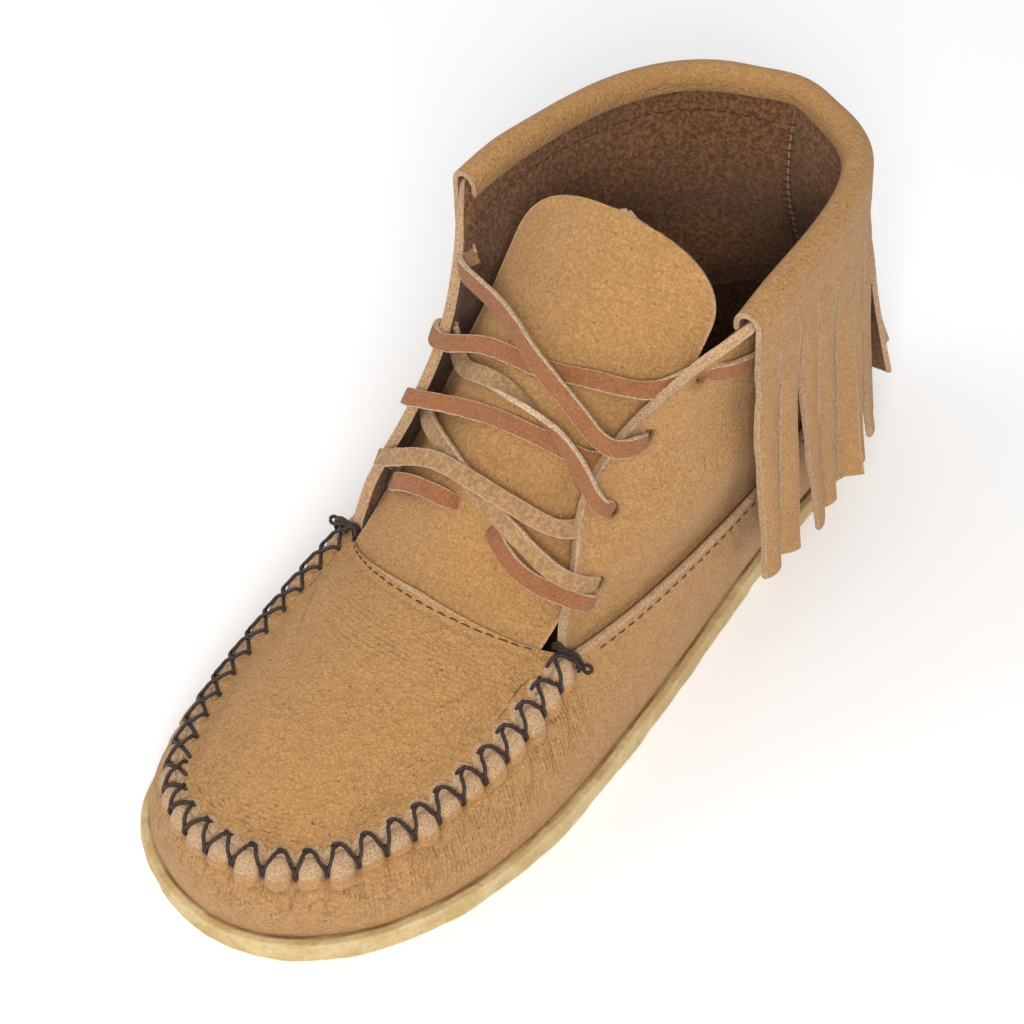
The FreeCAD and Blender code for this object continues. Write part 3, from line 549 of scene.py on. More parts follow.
# %% Camera
AZIMUTH, ELEVATION, ROLL = np.radians([41.44, 45.14, -2.57])
DISTANCE = 792.84
TARGET = np.array([-5.58, -1.38, 43.54])
back_way = np.array([np.sin(AZIMUTH) * np.cos(ELEVATION), -np.cos(AZIMUTH) * np.cos(ELEVATION), np.sin(ELEVATION)])
right_way = np.array([np.cos(AZIMUTH), np.sin(AZIMUTH), 0.0])
up_way = np.cross(back_way, right_way)
rolled_right = right_way * np.cos(ROLL) + up_way * np.sin(ROLL)
rolled_up = up_way * np.cos(ROLL) - right_way * np.sin(ROLL)
turn = np.eye(4)
turn[:3, 0], turn[:3, 1], turn[:3, 2] = rolled_right, rolled_up, back_way
turn[:3, 3] = (TARGET + back_way * DISTANCE) * MM
eye = bpy.data.cameras.new("camera")
eye.sensor_width = 36.0
eye.lens = 106.76
camera = bpy.data.objects.new("camera", eye)
bpy.context.scene.collection.objects.link(camera)
camera.matrix_world = turn.T.tolist()
bpy.context.scene.camera = camera
print("camera at", turn[:3, 3].round(3))

# %% [markdown]
# ## Crepe sole
#
# One flat sheet cut to the outline of the last. Its cut side is a touch uneven, which a slab would miss, so the
# section is a profile of inset and height carried round the outline and closed on a line along the middle.


# %% Sole and footbed
def outline(side, inset, count):
    """Half of the sole's border moved inwards, from toe to heel."""
    curve = spline(np.asarray(side) * LAST_SCALE[:2], count)
    along = np.gradient(curve, axis=0)
    turn_way = 1 if side is LATERAL_SOLE else -1
    inward = unit(np.stack([-along[:, 1], along[:, 0]], axis=1)) * turn_way
    inward[0] = (0, 1)
    inward[-1] = (0, -1)
    return curve + inward * inset


def middle_line(y):
    """Places on the shoe's middle line that the borders close on."""
    return np.clip(y, -0.62 * HALF_LENGTH, 0.72 * HALF_LENGTH)


def sole_layer(name, inset, low, thickness, finish, slot, edge, ripple, dish=0.0):
    """Closed layer: rounded side profile of a radius, ripples of a depth, and a dished top."""
    half = 150
    lateral, medial = outline(LATERAL_SOLE, inset, half), outline(MEDIAL_SOLE, inset, half)
    border = np.vstack([lateral, medial[-2:0:-1]])
    middle_y = middle_line((lateral[:, 1] + medial[:, 1]) / 2)
    centre = np.column_stack([np.zeros(len(border)), np.concatenate([middle_y, middle_y[-2:0:-1]])])
    inward = unit(centre - border)
    corner = np.linspace(0, np.pi / 2, 5)
    lower = [(edge * (1 - np.sin(a)), edge * (1 - np.cos(a))) for a in corner]
    upper = [(edge * (1 - np.cos(a)), thickness - edge * (1 - np.sin(a))) for a in corner]
    side_profile = lower + [(0, thickness * s) for s in (0.35, 0.5, 0.65)] + upper
    rows = []
    for depth, height in side_profile:
        flat = border + inward * depth
        rows.append(np.column_stack([flat, np.full(len(flat), low + height)]))
    wall = np.stack(rows)
    sway = rumple(wall, 7.0, 3) * ripple
    wall[:, :, :2] += -inward * sway[:, :, None]
    far = np.linalg.norm(centre - border, axis=1)
    shares = [inset_mm / far for inset_mm in (1.2, 1.8, 2.5, 3.3)] + [s + 0 * far for s in np.linspace(0.14, 1, 11)]
    shares = np.stack(shares)[:, :, None]
    top = wall[-1] * (1, 1, 1) + np.concatenate([centre - wall[-1, :, :2], 0 * far[:, None]], axis=1) * shares
    top[:, :, 2] -= dish * smooth(0, 0.8, shares[:, :, 0])
    foot = wall[0] + np.concatenate([centre - wall[0, :, :2], 0 * far[:, None]], axis=1) * shares[::-1]
    grid = np.concatenate([foot, wall, top])
    faces = ring_faces(len(grid), grid.shape[1], round_columns=True)
    dirt = np.zeros(grid.shape[:2])
    feather = len(foot) + len(wall)
    dirt[feather + 1:feather + 3] = np.clip(0.8 + 0.6 * rumple(grid[feather + 1:feather + 3], 7.0, 9), 0, 1)
    return make_piece(name, grid.reshape(-1, 3), faces, {"crease": dirt.ravel()}, finish, slot, 40)


sole = sole_layer("crepe_sole", 0.0, 0.0, SOLE_THICKNESS, crepe, "crepe", 0.5, 0.32)
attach(sole, "shoe")
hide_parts("outsole")
footbed_inset = SOLE_LEDGE + LEATHER + 1.5
footbed_low = SOLE_THICKNESS + LEATHER
foam = sole_layer("footbed_pad", footbed_inset, footbed_low, 3.0, footbed_foam, "foam", 0.6, 0.1)
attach(foam, "shoe")
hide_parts("insole_foam")
cover = sole_layer("footbed_cover", footbed_inset, footbed_low + 3.0, 1.2, footbed_suede, "suede", 0.4, 0.1, 0.3)
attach(cover, "shoe")
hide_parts("insole_cover")
bottom = sole_layer("bottom_leather", SOLE_LEDGE + LEATHER / 2, SOLE_THICKNESS, LEATHER, upper_leather, "leather",
                    0.5, 0.1)
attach(bottom, "shoe")

# %% [markdown]
# ## Lines that the upper is cut to
#
# The plug's face is a ridge line with a crown that falls off with the square of the distance from the middle. The
# side wall climbs from the sole to the toe seam, and behind the facing to its raw edge over the quarter.

# %% The plug's face and the wall's borders
PLUG_TOE_DROP = 33.0
PLUG_BACK_DROP = 22.0
ridge_line = spline(np.asarray(PLUG_RIDGE) * LAST_SCALE[1:], 200)


def plug_height(x, y):
    """Ridge height at y, less the drop times the square of x over the half width."""
    middle = np.interp(y, ridge_line[:, 0], ridge_line[:, 1])
    drop = PLUG_BACK_DROP + (PLUG_TOE_DROP - PLUG_BACK_DROP) * np.clip(-y / HALF_LENGTH, 0, 1)
    return middle - drop * (x / HALF_WIDTH) ** 2


def wall_borders(sign, toe_count, side_count):
    """Foot and top line of half the wall, each from the toe's centre to the heel's."""
    seam = np.asarray(TOE_SEAM) * (sign * HALF_WIDTH, HALF_LENGTH)
    seam = np.column_stack([seam, plug_height(seam[:, 0], seam[:, 1]) + SEAM_RISE])
    raised = np.asarray(QUARTER_SEAM) * LAST_SCALE * (sign, 1, 1)
    top = np.vstack([spline(seam, toe_count), spline(np.vstack([seam[-1:], raised]), side_count)[1:]])
    foot = outline(LATERAL_SOLE if sign > 0 else MEDIAL_SOLE, SOLE_LEDGE, 400)
    foot = np.column_stack([foot, np.full(len(foot), SOLE_THICKNESS)])
    ahead = foot[:, 1] < seam[-1, 1]
    split = int(ahead.sum())
    foot = np.vstack([even(foot[:split + 1], toe_count), even(foot[split:], side_count)[1:]])
    return foot, top


def wall_face(foot, top, shares):
    """Foot plus a share of the way to the top, bulged outwards most at half height."""
    away = np.column_stack([foot[:, 0], foot[:, 1] - middle_line(foot[:, 1]), np.zeros(len(foot))])
    share = np.asarray(shares)[:, None, None]
    return foot + (top - foot) * share + unit(away) * (WALL_BULGE * 4 * share * (1 - share))


TOE_COUNT = 250
SIDE_COUNT = 105
lateral_foot, lateral_top = wall_borders(1, TOE_COUNT, SIDE_COUNT)
medial_foot, medial_top = wall_borders(-1, TOE_COUNT, SIDE_COUNT)
wall_foot = np.vstack([medial_foot[::-1], lateral_foot[1:]])
wall_top = np.vstack([medial_top[::-1], lateral_top[1:]])
toe_column = len(medial_foot) - 1
seam_run = walked(wall_top)
seam_run = seam_run - seam_run[toe_column]
SEAM_END_M = -seam_run[toe_column - TOE_COUNT + 1]
SEAM_END_L = seam_run[toe_column + TOE_COUNT - 1]
print("toe seam", round(SEAM_END_M + SEAM_END_L), "mm")

# %% [markdown]
# ## Side wall
#
# The wall's leather is longer than the plug's edge, so each stitch gathers it: a rounded nodule stands between two
# stitches and folds run down from each valley. The nodules are a rounded wave along the seam times a ball-shaped
# profile down the wall, and each fold is a narrow trough along its own slanting line.

# %% Side wall with its gathers
CROSS_STITCHES = 30
NODULE_DEPTH = 1.9
NODULE_HEIGHT = 5.6
KNOB_CENTRE = 2.4
random = np.random.default_rng(7)
pitch = (SEAM_END_M + SEAM_END_L) / CROSS_STITCHES


def stitch_phase(run):
    """Seam length counted in stitches from the medial end, so that valleys are at whole numbers."""
    return (run + SEAM_END_M) / pitch


def troughs(run, depth, starts, tops, slants, lengths, deep, wide):
    """Sum of narrow troughs, each along a slanting, slightly wavy line that fades at both ends."""
    total = np.zeros(run.shape)
    for start, low, slant, length, size, width in zip(starts, tops, slants, lengths, deep, wide):
        share = np.clip((depth - low) / length, 0, 1)
        line = start + slant * (depth - low) + 0.35 * np.sin((depth - low) * 0.9 + start)
        off = (run - line) / width
        total += size * np.sin(np.pi * share ** 0.6) * (np.exp(-off ** 2) - 0.35 * np.exp(-(abs(off) - 2) ** 2))
    return total


rows = 50
shares = (1 - np.linspace(0, 1, rows - 2) ** 1.25)[::-1]
shares = np.concatenate([[0.0, 0.012, 0.028], shares[1:]])
wall = wall_face(wall_foot, wall_top, shares)
depth = (1 - shares)[:, None] * np.linalg.norm(wall_top - wall_foot, axis=1)
run = np.broadcast_to(seam_run, depth.shape)
phase = stitch_phase(run)
on_seam = smooth(-0.3, 0.6, phase) * (1 - smooth(CROSS_STITCHES - 0.6, CROSS_STITCHES + 0.3, phase))
knob = np.clip(np.floor(phase), 0, CROSS_STITCHES - 1).astype(int)
knob_size = random.uniform(0.62, 1.22, CROSS_STITCHES)
proud = 0.35 + 0.65 * smooth(0.22, 0.40, phase / CROSS_STITCHES)
wave = np.abs(np.sin(np.pi * phase)) ** 0.6
off_centre = (2 * (phase - np.floor(phase)) - 1) * 0.96
below = np.clip((depth - KNOB_CENTRE) / (NODULE_HEIGHT * knob_size[knob] - KNOB_CENTRE), 0, None)
ball = np.sqrt(np.clip(1 - off_centre ** 2 - below ** 2, 0, 1))
valley = np.exp(-((phase - np.round(phase)) * pitch / 1.0) ** 2)
away = unit(np.column_stack([wall_foot[:, 0], wall_foot[:, 1] - middle_line(wall_foot[:, 1]),
                             np.zeros(len(wall_foot))]))
puff = NODULE_DEPTH * knob_size[knob] * ball * proud
pinch = 1.1 * valley * np.exp(-(depth / 6.5) ** 2) * proud
under = 0.5 * wave * proud * np.exp(-((depth - NODULE_HEIGHT * knob_size[knob] - 0.3) / 0.8) ** 2)
fold_count = 5 * (CROSS_STITCHES + 1)
valley_run = np.repeat(np.arange(CROSS_STITCHES + 1) * pitch - SEAM_END_M, 5)
gathers = troughs(
    run, depth, valley_run + random.normal(0, 1.7, fold_count), random.uniform(3.5, 8.0, fold_count),
    random.normal(0, 0.30, fold_count), random.uniform(7, 19, fold_count),
    random.uniform(0.08, 0.30, fold_count), random.uniform(0.40, 0.9, fold_count))
streak = lattice(np.stack([run / 1.3, depth / 8.0, 0 * run], axis=-1), 5) * 0.07
streak = streak * smooth(3, 8, depth) * (1 - smooth(12, 24, depth))
soft = rumple(wall, 34.0, 11) * 0.9 * smooth(4, 14, depth) * smooth(0, 9, wall[:, :, 2] - SOLE_THICKNESS)
shift = on_seam * (puff - pinch - under - gathers + streak) + soft
wall = wall + away * shift[:, :, None]
wall[:, :, 2] += on_seam * proud * np.exp(-(depth / 3.0) ** 2) * (0.5 * wave * knob_size[knob] - 1.0 * valley)
piping = (1 - on_seam) * np.exp(-((depth - 0.6) / 1.1) ** 2)
wall = wall + away * (0.6 * piping)[:, :, None]
skived = 1 - 0.4 * (1 - on_seam) * np.exp(-(depth / 4.0) ** 2)
inner = wall_face(wall_foot, wall_top, shares) + away * (soft - LEATHER * skived)[:, :, None]
inner[:, :, 2] += on_seam * proud * np.exp(-(depth / 3.0) ** 2) * (0.5 * wave - 1.0 * valley)
for grid in (wall, inner):
    grid[:, 0, 0] = -0.2
    grid[:, -1, 0] = 0.2
# painted shade: darker in the gathers' troughs, in the valleys between nodules and under each nodule
painted_shade = on_seam * np.clip(gathers * 1.1 + valley * np.exp(-(depth / 6.0) ** 2) + under, 0, 1)
glue = np.exp(-((wall[:, :, 2] - SOLE_THICKNESS) / (1.0 + 0.4 * rumple(wall, 5.0, 13))) ** 2)
bare_depth = 0.8 + 1.7 * proud * knob_size[knob]
bare = on_seam * wave * (1 - smooth(0.6, 1.2, (depth + 0.5 * rumple(wall, 1.4, 17)) / bare_depth))
bare = np.maximum(bare, (1 - on_seam) * (1 - smooth(0.15, 0.5, depth)))
gathered = on_seam * smooth(3.5, 7.0, depth) * (1 - smooth(13, 24, depth)) * (0.35 + 0.65 * proud)
sheet = leather_sheet(wall, inner, np.maximum(painted_shade, glue), bare, run / 1.15, gathered)
side_wall = make_piece("side_wall", *sheet, upper_leather, "leather", 55)
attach(side_wall, "shoe")
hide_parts("wrap")

# %% [markdown]
# ## Plug
#
# The plug is a smooth domed panel whose edge is turned up against the wall's edge. Its grid runs from the toe seam
# to the middle line, so that the turned-up edge and the fine creases beside it can follow the seam.

# %% Plug
TONGUE_SEAM_HALF = 34.0
TONGUE_SEAM_DEPTH = 14.0
ARC_RADIUS = (TONGUE_SEAM_HALF ** 2 + TONGUE_SEAM_DEPTH ** 2) / (2 * TONGUE_SEAM_DEPTH)
ARC_MIDDLE = PLUG_RIDGE[-2][0] * HALF_LENGTH


def seam_arc(x):
    """Plan line of the tongue seam: a circle's arc whose middle lies nearest the toe."""
    x = np.clip(x, -TONGUE_SEAM_HALF - 3, TONGUE_SEAM_HALF + 3)
    return ARC_MIDDLE + ARC_RADIUS - np.sqrt(ARC_RADIUS ** 2 - x ** 2)


toe_part = slice(toe_column - TOE_COUNT + 1, toe_column + TOE_COUNT)
seam_places = wall_top[toe_part]
seam_s = seam_run[toe_part]
seam_in = np.gradient(seam_places[:, :2], axis=0)
seam_in = unit(np.stack([-seam_in[:, 1], seam_in[:, 0]], axis=1))
plug_border = seam_places[:, :2] + seam_in * (LEATHER + LAYER_GAP)
plug_rows = 56
reach = np.linspace(0, 1, plug_rows) ** 1.7
end_share = np.clip(np.abs(seam_s) / np.where(seam_s < 0, SEAM_END_M, SEAM_END_L), 0, 1)
target_y = -0.60 * HALF_LENGTH + (ARC_MIDDLE + 0.60 * HALF_LENGTH) * end_share ** 2.2
plan_x = plug_border[:, 0] * (1 - reach[:, None])
straight = plug_border[:, 1] + (target_y - plug_border[:, 1]) * reach[:, None]
arc_fit = seam_arc(plan_x) + (plug_border[:, 1] - seam_arc(plug_border[:, 0])) * (1 - reach[:, None])
plan_y = straight + (arc_fit - straight) * end_share ** 9
from_edge = np.hypot(plan_x - plug_border[:, 0], plan_y - plug_border[:, 1])
plug_phase = np.broadcast_to(stitch_phase(seam_s), plan_x.shape)
plug_wave = np.abs(np.sin(np.pi * plug_phase)) ** 0.7
plug_on = smooth(0, 1.0, plug_phase) * (1 - smooth(CROSS_STITCHES - 1.0, CROSS_STITCHES, plug_phase))
height = plug_height(plan_x, plan_y)
plug_proud = 0.3 + 0.7 * smooth(0.22, 0.40, plug_phase / CROSS_STITCHES)
lift = (1.2 + 0.9 * plug_wave) * np.exp(-(from_edge / 2.3) ** 2) - 0.35 * np.exp(-((from_edge - 5.4) / 1.6) ** 2)
from_back = np.abs(seam_arc(plan_x) - plan_y)
wander = from_edge + 1.2 * lattice(np.stack([seam_s / 9.0 + 0 * plan_x, from_edge / 6, 0 * plan_x], -1), 23)
lines = np.sin(wander * 2 * np.pi / 1.55) * lattice(
    np.stack([np.broadcast_to(seam_s / 5.5, plan_x.shape), from_edge / 2.2, 0 * plan_x], -1), 29)
near = smooth(1.5, 4.0, from_edge) * (1 - smooth(7, 20, from_edge))
front = 0.35 + 0.65 * smooth(-0.35, -0.75, plan_y / HALF_LENGTH)
fine = lines * near * front * 0.06
places = np.stack([plan_x, plan_y, height], -1)
plug = np.stack([plan_x, plan_y, height + lift * (0.25 + 0.75 * plug_on) + fine], -1)
plug[:, :, 2] += rumple(places, 38.0, 31) * 0.55 * smooth(3, 15, from_edge)
plug[:, :, 2] += 0.9 * np.exp(-(from_back / 1.8) ** 2) - 0.3 * np.exp(-((from_back - 3.6) / 1.0) ** 2)
plug_back = plug - np.array([0, 0, LEATHER])
raw_width = (0.5 + 2.6 * plug_wave * plug_proud) * (0.2 + 0.8 * plug_on)
plug_raw = 1 - smooth(0.75, 1.25, (from_edge + 0.35 * rumple(places, 1.3, 37)) / raw_width)
plug_raw = np.maximum(plug_raw, 1 - smooth(0.9, 1.5, from_back + 0.2 * rumple(places, 1.3, 38)))
across_fold = smooth(6, 12, from_back) * (1 - smooth(16, 30, from_back)) * 0.45
beside_seam = smooth(2.5, 5.0, from_edge) * (1 - smooth(6, 17, from_edge)) * (0.35 + 0.45 * plug_proud)
plug_fold = np.where(across_fold > beside_seam, from_back / 1.4, from_edge / 1.15)
# painted shade: darker in the troughs of the fine lines and in the groove inside the raised edge, between stitches
plug_painted_shade = np.clip(-fine * 7, 0, 1) + 0.4 * np.exp(-((from_edge - 4.4) / 1.2) ** 2) * (1 - plug_wave)
plug_sheet = leather_sheet(plug, plug_back, np.clip(plug_painted_shade, 0, 1), plug_raw, plug_fold,
                           np.maximum(across_fold, beside_seam), joined=True)
plug_piece = make_piece("plug_leather", *plug_sheet, upper_leather, "leather", 60)
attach(plug_piece, "shoe")
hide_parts("plug")

# %% [markdown]
# ## Toe stitches
#
# One waxed thread is sewn twice along the seam, so that its stitches cross. Each thread comes up through the plug,
# climbs over both raw edges and goes down into the valley between two nodules. On the outer side the two crossing
# threads almost share their hole in the plug, which makes the crosses look like a zigzag.

# %% Crossing threads over the toe seam
THREAD = 1.0


def seam_frame(run_at):
    """Top of the wall and the level direction into the shoe, at lengths along the toe seam."""
    place = np.stack([np.interp(run_at, seam_s, seam_places[:, axis]) for axis in range(3)], axis=-1)
    inward = np.stack([np.interp(run_at, seam_s, seam_in[:, axis]) for axis in range(2)], axis=-1)
    return place, np.column_stack([unit(inward), np.zeros(len(inward))])


def seam_point(run_at, inside, up):
    """A place so far inside the seam's top line and so far above it."""
    place, inward = seam_frame(np.asarray(run_at, float))
    return place + inward * np.asarray(inside)[:, None] + np.array([0, 0, 1.0]) * np.asarray(up)[:, None]


def plug_point(run_at, inside, up):
    """A place so far inside the seam and so far above the plug's face."""
    place = seam_point(run_at, inside, np.zeros(len(run_at)))
    place[:, 2] = plug_height(place[:, 0], place[:, 1]) + np.asarray(up)
    return place


count = CROSS_STITCHES
number = np.arange(count)
across_share = (number + 0.5) / count
front = smooth(0.32, 0.44, across_share)
spread = 0.5 - 0.37 * front + 0.2 * smooth(0.88, 1.0, across_share)
one = np.ones(count)

centre_run = (number + 0.5) * pitch - SEAM_END_M
paths = []
for way in (-1, 1):
    outer_run = centre_run + way * pitch * 0.5 + random.normal(0, 0.25, count)
    inner_run = centre_run - way * pitch * spread + random.normal(0, 0.25, count)
    middle_run = (outer_run + inner_run) / 2
    over = 0.10 + 0.75 * (way > 0)
    knots = np.stack([
        plug_point(inner_run, 5.5 - 1.5 * front, -0.9 * one),
        plug_point(inner_run, 5.1 - 1.5 * front, 0.55 + 0.5 * front),
        plug_point(inner_run * 0.85 + outer_run * 0.15, 4.1 - 0.9 * front, 1.5 + over + 0.2 * front),
        plug_point(inner_run * 0.60 + outer_run * 0.40, 2.6 * one, (2.3 + over) * one),
        seam_point(middle_run * 0.75 + outer_run * 0.25, 0.9 * one, (1.75 + over) * one),
        seam_point(inner_run * 0.20 + outer_run * 0.80, -0.4 - 0.2 * front, 0.75 + 0.1 * front),
        seam_point(outer_run, -1.4 * one, -0.7 - 0.2 * front),
        seam_point(outer_run, -1.6 * one, -1.9 - 0.6 * front),
        seam_point(outer_run, -0.4 * one, -2.8 - 0.8 * front),
    ], axis=1)
    paths += [spline(knot, 26) for knot in knots]
stitches = make_piece("toe_cross_stitches", *tubes(np.stack(paths), THREAD / 2), waxed_thread, "waxed_thread")
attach(stitches, "shoe")
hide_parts("apron_stitches")


# %% Bar tacks at the two ends of the toe seam
tacks = []
for end_run, side in ((-SEAM_END_M, -1), (SEAM_END_L, 1)):
    for k in range(4):
        slide = end_run + side * (0.75 * k - 1.2)
        sag = random.normal(0, 0.25, 5)
        knot = np.vstack([
            plug_point([slide], [5.4 + sag[0]], [-0.8]),
            plug_point([slide], [4.8 + sag[0]], [1.1]),
            seam_point([slide], [1.6], [1.7 + sag[1]]),
            seam_point([slide], [-1.0], [1.2 + sag[2]]),
            seam_point([slide], [-3.0 + sag[3]], [-0.9]),
            seam_point([slide], [-2.4], [-2.6]),
        ])
        tacks.append(spline(knot, 26))
    loop_angle = np.linspace(-0.4, 1.9 * np.pi, 26)
    hub = seam_point([end_run + side * 1.0], [-4.6], [-1.6])[0]
    tacks.append(hub + np.column_stack([1.2 * side * np.cos(loop_angle), 0.7 * np.sin(loop_angle),
                                        0.6 * np.sin(loop_angle)]))
knots_piece = make_piece("toe_bar_tacks", *tubes(np.stack(tacks), THREAD / 2), waxed_thread, "waxed_thread")
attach(knots_piece, "shoe")
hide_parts("apron_knots")

# %% [markdown]
# ## Quarters
#
# The two ankle side pieces are tucked inside the wall and rise to the rim. Their front edges, the facings, carry
# four punched lace holes each. A hole is made in the grid: the lines round it are pushed apart until they lie on
# its circle, and the few faces inside it are left out of both faces and joined through the leather.

# %% Quarter surfaces and their lace holes
LACE_HOLE_INSET = 9.0
FIRST_HOLE_RISE = 15.0
LACE_HOLE_PITCH = 20.0
LACE_HOLE_RADIUS = 1.9
QUARTER_ROWS = 96
QUARTER_COLUMNS = 150


def quarter_face(sign, rows, columns):
    """Smooth surface through the tucked foot of the quarter and its four levels, from facing to back seam."""
    foot, top = wall_borders(sign, 60, 60)
    lap = SEAM_LAP * 2.6 / RIM_HEIGHT
    wall_part = wall_face(foot, top, (1 - lap, 1 - lap / 2, 1.0))
    direction = grid_normals(wall_part)
    direction *= np.sign(np.sum(direction[1, 80] * (foot[80] * (1, 0, 0))))
    tucked = wall_part - direction * (LEATHER + TUCK_GAP)
    levels = [even(line[59:], columns) for line in tucked]
    levels += [spline(np.asarray(level) * LAST_SCALE * (sign, 1, 1), columns) for level in QUARTER_LEVELS]
    grid = np.stack([spline(column, rows) for column in np.stack(levels).transpose(1, 0, 2)], axis=1)
    grid[:, -1, 0] = sign * 0.2
    return grid


def hole_places(sign):
    """The lace holes at even steps up the facing, a fixed way in from its edge, with the outward direction."""
    grid = quarter_face(sign, 90, 150)
    outward = grid_normals(grid)
    outward *= sign * np.sign(outward[45, 75, 0])
    risen = walked(grid[:, 0])
    holes = []
    for k in range(4):
        row = int(np.argmin(abs(risen - (SEAM_LAP + FIRST_HOLE_RISE + k * LACE_HOLE_PITCH))))
        column = int(np.argmin(abs(walked(grid[row]) - LACE_HOLE_INSET)))
        holes.append((grid[row, column], outward[row, column]))
    return holes


lace_holes = {sign: hole_places(sign) for sign in (1, -1)}


def punch(grid, centres, radius, block=3):
    """Pushes the grid's places away from each centre, so that near ones land on a circle of the radius, and
    gives the faces left out: a small block of cells round each centre."""
    left_out = np.zeros((grid.shape[0] - 1, grid.shape[1] - 1), bool)
    for centre, direction in centres:
        off = grid - centre
        off = off - direction * np.sum(off * direction, axis=-1, keepdims=True)
        far = np.linalg.norm(off, axis=-1, keepdims=True)
        row, column = np.unravel_index(np.argmin(far[:, :, 0]), far.shape[:2])
        cell = slice(row - 1, row - 1 + block), slice(column - 1, column - 1 + block)
        left_out[cell] = True
        middle = off[row - 1:row + block, column - 1:column + block].mean(axis=(0, 1))
        off = off - middle
        far = np.maximum(np.linalg.norm(off, axis=-1, keepdims=True), 1e-6)
        edge = np.linalg.norm(off[row - 1:row + block, column - 1:column + block], axis=-1)
        edge = edge[[0, 0, -1, -1, 1, 1, 2, 2], [1, 2, 1, 2, 0, -1, 0, -1]].mean()
        near = np.exp(-(far / (3 * radius)) ** 2)
        inside = smooth(2.2 * edge, 1.4 * edge, far)
        grid = grid + off / far * ((radius - far) * inside + (radius - edge) * near * (1 - inside))
    return grid, left_out


def quarter_piece(sign, name, node):
    grid = quarter_face(sign, QUARTER_ROWS, QUARTER_COLUMNS)
    outward = grid_normals(grid)
    outward *= sign * np.sign(outward[QUARTER_ROWS // 2, QUARTER_COLUMNS // 2, 0])
    risen = np.linalg.norm(np.diff(grid, axis=0), axis=-1)
    up = np.concatenate([np.zeros((1, QUARTER_COLUMNS)), np.cumsum(risen, axis=0)])
    spent = np.linalg.norm(np.diff(grid, axis=1), axis=-1)
    along = np.concatenate([np.zeros((QUARTER_ROWS, 1)), np.cumsum(spent, axis=1)], axis=1)
    free = smooth(12, 26, up) * (1 - smooth(-16, -6, up - up[-1])) * (1 - smooth(-20, -4, along - along[:, -1:]))
    slack = rumple(grid, 30.0, 41, 2) * 0.95 * free
    slack += rumple(grid * (1, 1, 2.2), 14.0, 47, 2) * 0.35 * free * smooth(20, 60, along)
    flare = 1.5 * np.exp(-(along / 3.0) ** 2) * smooth(4, 14, up)
    grid = grid + outward * (slack + flare)[:, :, None]
    grid, left_out = punch(grid, lace_holes[sign], LACE_HOLE_RADIUS)
    thick = QUARTER_LEATHER * (1 + 0.75 * np.exp(-(along / 2.5) ** 2))
    behind = grid - outward * thick[:, :, None]
    behind[:, -1, 0] = grid[:, -1, 0]
    # painted shade: darker round each lace hole, where the thong lies over it
    hole_shade = sum(np.exp(-(np.linalg.norm(grid - centre, axis=-1) / 3.4) ** 2) for centre, _ in lace_holes[sign])
    frayed = 1 - smooth(0.6, 1.3, along + 0.3 * rumple(grid, 1.4, 43))
    places, faces, marks = leather_sheet(grid, behind, np.clip(hole_shade * 0.8, 0, 1), frayed)
    columns = QUARTER_COLUMNS
    steps = 3
    row, column = np.nonzero(left_out)
    front = row * columns + column
    back_row = 2 * QUARTER_ROWS + steps - 1 - (row + 1)
    gone = {(int(a), int(a) + 1) for a in front} | {(int(a), int(a) + 1) for a in back_row * columns + column}
    kept = []
    for face in faces:
        low = min(face)
        if not (len(face) == 4 and (low, low + 1) in gone and low + 1 in face and low + columns in face):
            kept.append(face)
    index = np.arange(QUARTER_ROWS * columns).reshape(QUARTER_ROWS, columns)
    mirror = (2 * QUARTER_ROWS + steps - 1 - index // columns) * columns + index % columns
    for first, second in boundary(left_out, index):
        kept.append([first, second, int(mirror.flat[second]), int(mirror.flat[first])])
    piece = make_piece(name, places, kept, marks, upper_leather, "leather", 55)
    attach(piece, "shoe")
    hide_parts(node)
    return grid, outward


def boundary(left_out, index):
    """Pairs of neighbouring places round each block of faces that is left out."""
    pairs = []
    for row, column in zip(*np.nonzero(left_out)):
        corners = index[[row, row, row + 1, row + 1], [column, column + 1, column + 1, column]].tolist()
        beside = ((row - 1, column, 0), (row, column + 1, 1), (row + 1, column, 2), (row, column - 1, 3))
        for other_row, other_column, side in beside:
            if not left_out[other_row, other_column]:
                pairs.append((corners[side], corners[(side + 1) % 4]))
    return pairs


quarters = {1: quarter_piece(1, "outer_quarter", "quarter_lateral"),
            -1: quarter_piece(-1, "inner_quarter", "quarter_medial")}

# %% [markdown]
# ## Cuff and fringe
#
# One long strip is folded over the rim in a fat roll and cut into strands below a narrow band. The section of the
# fold is carried along the rim. Each strand starts on the band's own lower edge and bends over its hinge.

# %% Rim and folded strip
ROLL_RADIUS = 4.0
ROLL_INNER_LEG = 2.0
BAND_DROP = 14.0
FRINGE_LENGTH = 88.0
STRANDS = 22
STRAND_GAP = 1.0
TIP_SKEW = 3.0
STRAND_HINGE_GAP = 0.8
FRINGE_FLARE = 3.0
HEEL_CLEARANCE = 1.6
rim_line = [quarter_face(sign, 60, 150)[-1] for sign in (1, -1)]
heel_rim = np.array([QUARTER_LEVELS[-1][-1]]) * LAST_SCALE
rim_line = np.vstack([rim_line[0][:-12:6], heel_rim, rim_line[1][:-12:6][::-1]])


def rim_frames(count):
    """Places along the rim with the level directions along it and away from the shoe."""
    path = spline(rim_line, count)
    along = unit(np.gradient(path, axis=0) * (1, 1, 0))
    away_from = np.stack([along[:, 1], -along[:, 0], np.zeros(count)], axis=1)
    return path - away_from * (QUARTER_LEATHER / 2), along, away_from


